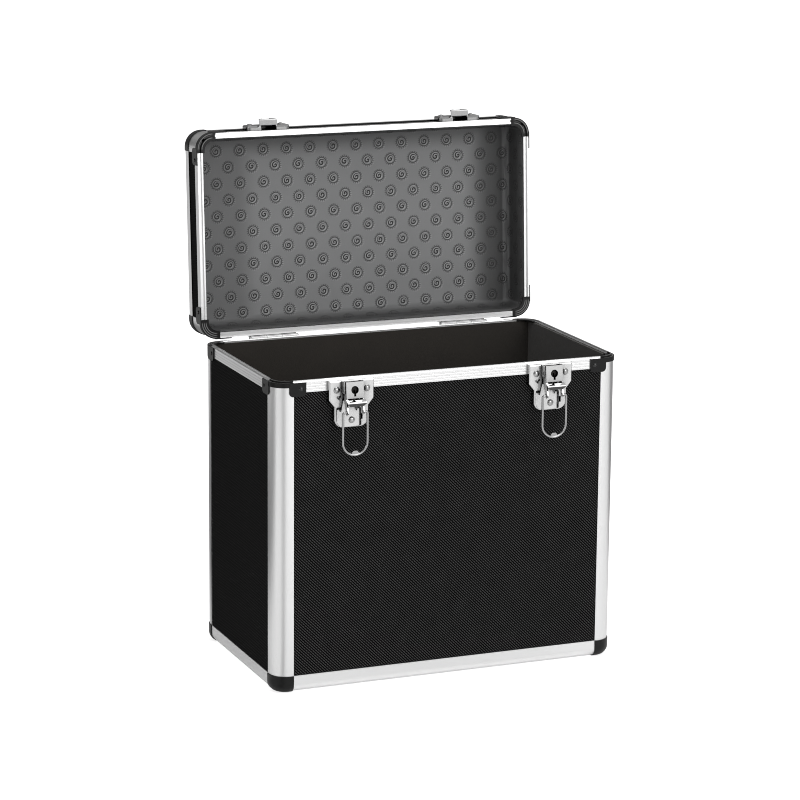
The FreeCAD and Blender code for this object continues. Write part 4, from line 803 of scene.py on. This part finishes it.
def add_light(name, place, target, width, height, power):
    data = bpy.data.lights.new(name, "AREA")
    data.shape = "RECTANGLE"
    data.size = width
    data.size_y = height
    data.energy = power
    light = bpy.data.objects.new(name, data)
    light.location = place
    away = Vector(target) - Vector(place)
    light.rotation_euler = away.to_track_quat("-Z", "Y").to_euler()
    light.visible_camera = False
    bpy.context.scene.collection.objects.link(light)


# Floor: its tones, its painted shade behind the case, and the painted dark band and painted glint
# that only reflections show
FLOOR_REACH = 12.0
FLOOR_DARK = gray(0.90)
FLOOR_LIGHT = gray(0.94)
FLOOR_SHADE = gray(0.29)
FLOOR_ROUGH = 0.9
FLOOR_SPECULAR = 0.1
FLOOR_GLOW = 0.72
FLOOR_GLINT = 0.12
BEHIND_X = 0.4
BEHIND_Y = 0.8
BEHIND_START = (0.10, 0.45)
BEHIND_END = (0.80, 1.35)
BEHIND_REST = 0.15
BAND_TURN = math.radians(27.5)
BAND_HALF = (0.02, 0.34)
BAND_ROUND = 20.0 * MM
BAND_REFLECTION_SHADE = gray(0.52)


def floor_behind(graph, x, y):
    """Shade behind the case and out to its sides, weaker far away."""
    beside = graph.times(graph.math("ABSOLUTE", x), BEHIND_X)
    behind = graph.add(graph.times(y, BEHIND_Y), beside)
    start = graph.ramp(behind, *BEHIND_START)
    return graph.times(start, graph.ramp(behind, *BEHIND_END, 1.0, BEHIND_REST))


def floor_band(graph, x, y):
    """Where the painted dark band lies: a wedge that runs forward from the left front corner of the
    case.
    """
    off_x = graph.add(x, HALF_WIDTH)
    off_y = graph.subtract(y, FRONT_Y)
    across = graph.times(off_x, math.cos(BAND_TURN))
    across = graph.subtract(across, graph.times(off_y, math.sin(BAND_TURN)))
    turned = graph.math("DIVIDE", across, graph.add(graph.length(off_x, off_y), BAND_ROUND))
    band = graph.fade(graph.math("ABSOLUTE", turned), *BAND_HALF)
    return graph.times(band, graph.math("LESS_THAN", y, FRONT_Y))


def make_floor():
    """A pale floor, brightened for the camera, which doesn't see its shade and its band."""
    reach = FLOOR_REACH
    mesh = bpy.data.meshes.new("floor")
    corners = [(-reach, -reach, 0), (reach, -reach, 0), (reach, reach, 0), (-reach, reach, 0)]
    mesh.from_pydata(corners, [], [(0, 1, 2, 3)])
    floor = bpy.data.objects.new("floor", mesh)
    bpy.context.scene.collection.objects.link(floor)
    graph = material_graph("floor_paper")
    x, y, _ = graph.split(graph.coords)
    seen = graph.ray("Is Camera Ray")
    mirrored = graph.ray("Is Glossy Ray")
    shade = graph.times(floor_behind(graph, x, y), graph.subtract(1.0, seen))
    band = graph.times(floor_band(graph, x, y), mirrored)
    cloud = graph.noise(graph.coords, scale=1.5, detail=2.0)
    color = graph.mix(cloud, FLOOR_DARK, FLOOR_LIGHT)
    color = graph.mix(shade, color, FLOOR_SHADE)
    color = graph.mix(band, color, BAND_REFLECTION_SHADE)
    plain = graph.times(graph.subtract(1.0, shade), graph.subtract(1.0, band))
    # Painted glint: the floor glows for reflected rays only
    glint = graph.times(graph.times(mirrored, FLOOR_GLINT), plain)
    inputs = {
        "Specular_IOR_Level": FLOOR_SPECULAR,
        "Emission_Color": WHITE,
        "Emission_Strength": graph.weighed(glint, (seen, FLOOR_GLOW)),
    }
    mesh.materials.append(graph.surface(color, FLOOR_ROUGH, **inputs))
    floor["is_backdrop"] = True


# World: directions, each with the two ends of its ramp and the brightness at both
WORLD_RIGHT = ((0.90, -0.25, 0.45), -0.7, 0.5, 0.10, 0.54)
WORLD_ABOVE = ((0.0, -0.35, 0.94), 0.55, 0.95, 0.0, 0.15)
WORLD_FRONT = ((0.30, -0.95, 0.0), 0.60, 0.95, 0.0, 0.54)
WORLD_BEHIND = ((0.38, 0.91, 0.15), 0.88, 0.96, 1.0, 0.45)


def make_world():
    """White to the camera, and as a light brightest in front, above and to the right."""
    world = bpy.data.worlds.new("studio")
    bpy.context.scene.world = world
    graph = Graph(world, "ShaderNodeOutputWorld")

    def level(direction, low, high, to_low, to_high):
        """Brightness by how far a ray points along a direction."""
        share = graph.vector_math("DOT_PRODUCT", graph.places["Generated"], direction)["Value"]
        return graph.ramp(share, low, high, to_low, to_high, kind="LINEAR")

    bright = graph.add(level(*WORLD_RIGHT), graph.add(level(*WORLD_ABOVE), level(*WORLD_FRONT)))
    strength = graph.times(bright, level(*WORLD_BEHIND))
    soft = graph.node("ShaderNodeBackground", Color=WHITE, Strength=strength)
    plain = graph.node("ShaderNodeBackground", Color=WHITE, Strength=1.0)
    mixer = graph.node("ShaderNodeMixShader", Fac=graph.ray("Is Camera Ray"))
    graph.put(mixer.inputs[1], soft.outputs[0])
    graph.put(mixer.inputs[2], plain.outputs[0])
    graph.show(mixer)


# Picture
FILTER_WIDTH = 1.0


def make_studio():
    make_camera()
    make_floor()
    make_world()
    for name, values in LIGHTS.items():
        add_light(name, *values)
    scene = bpy.context.scene
    scene.cycles.filter_width = FILTER_WIDTH
    scene.view_settings.view_transform = "Standard"


make_studio()
write_size("final", sizes)
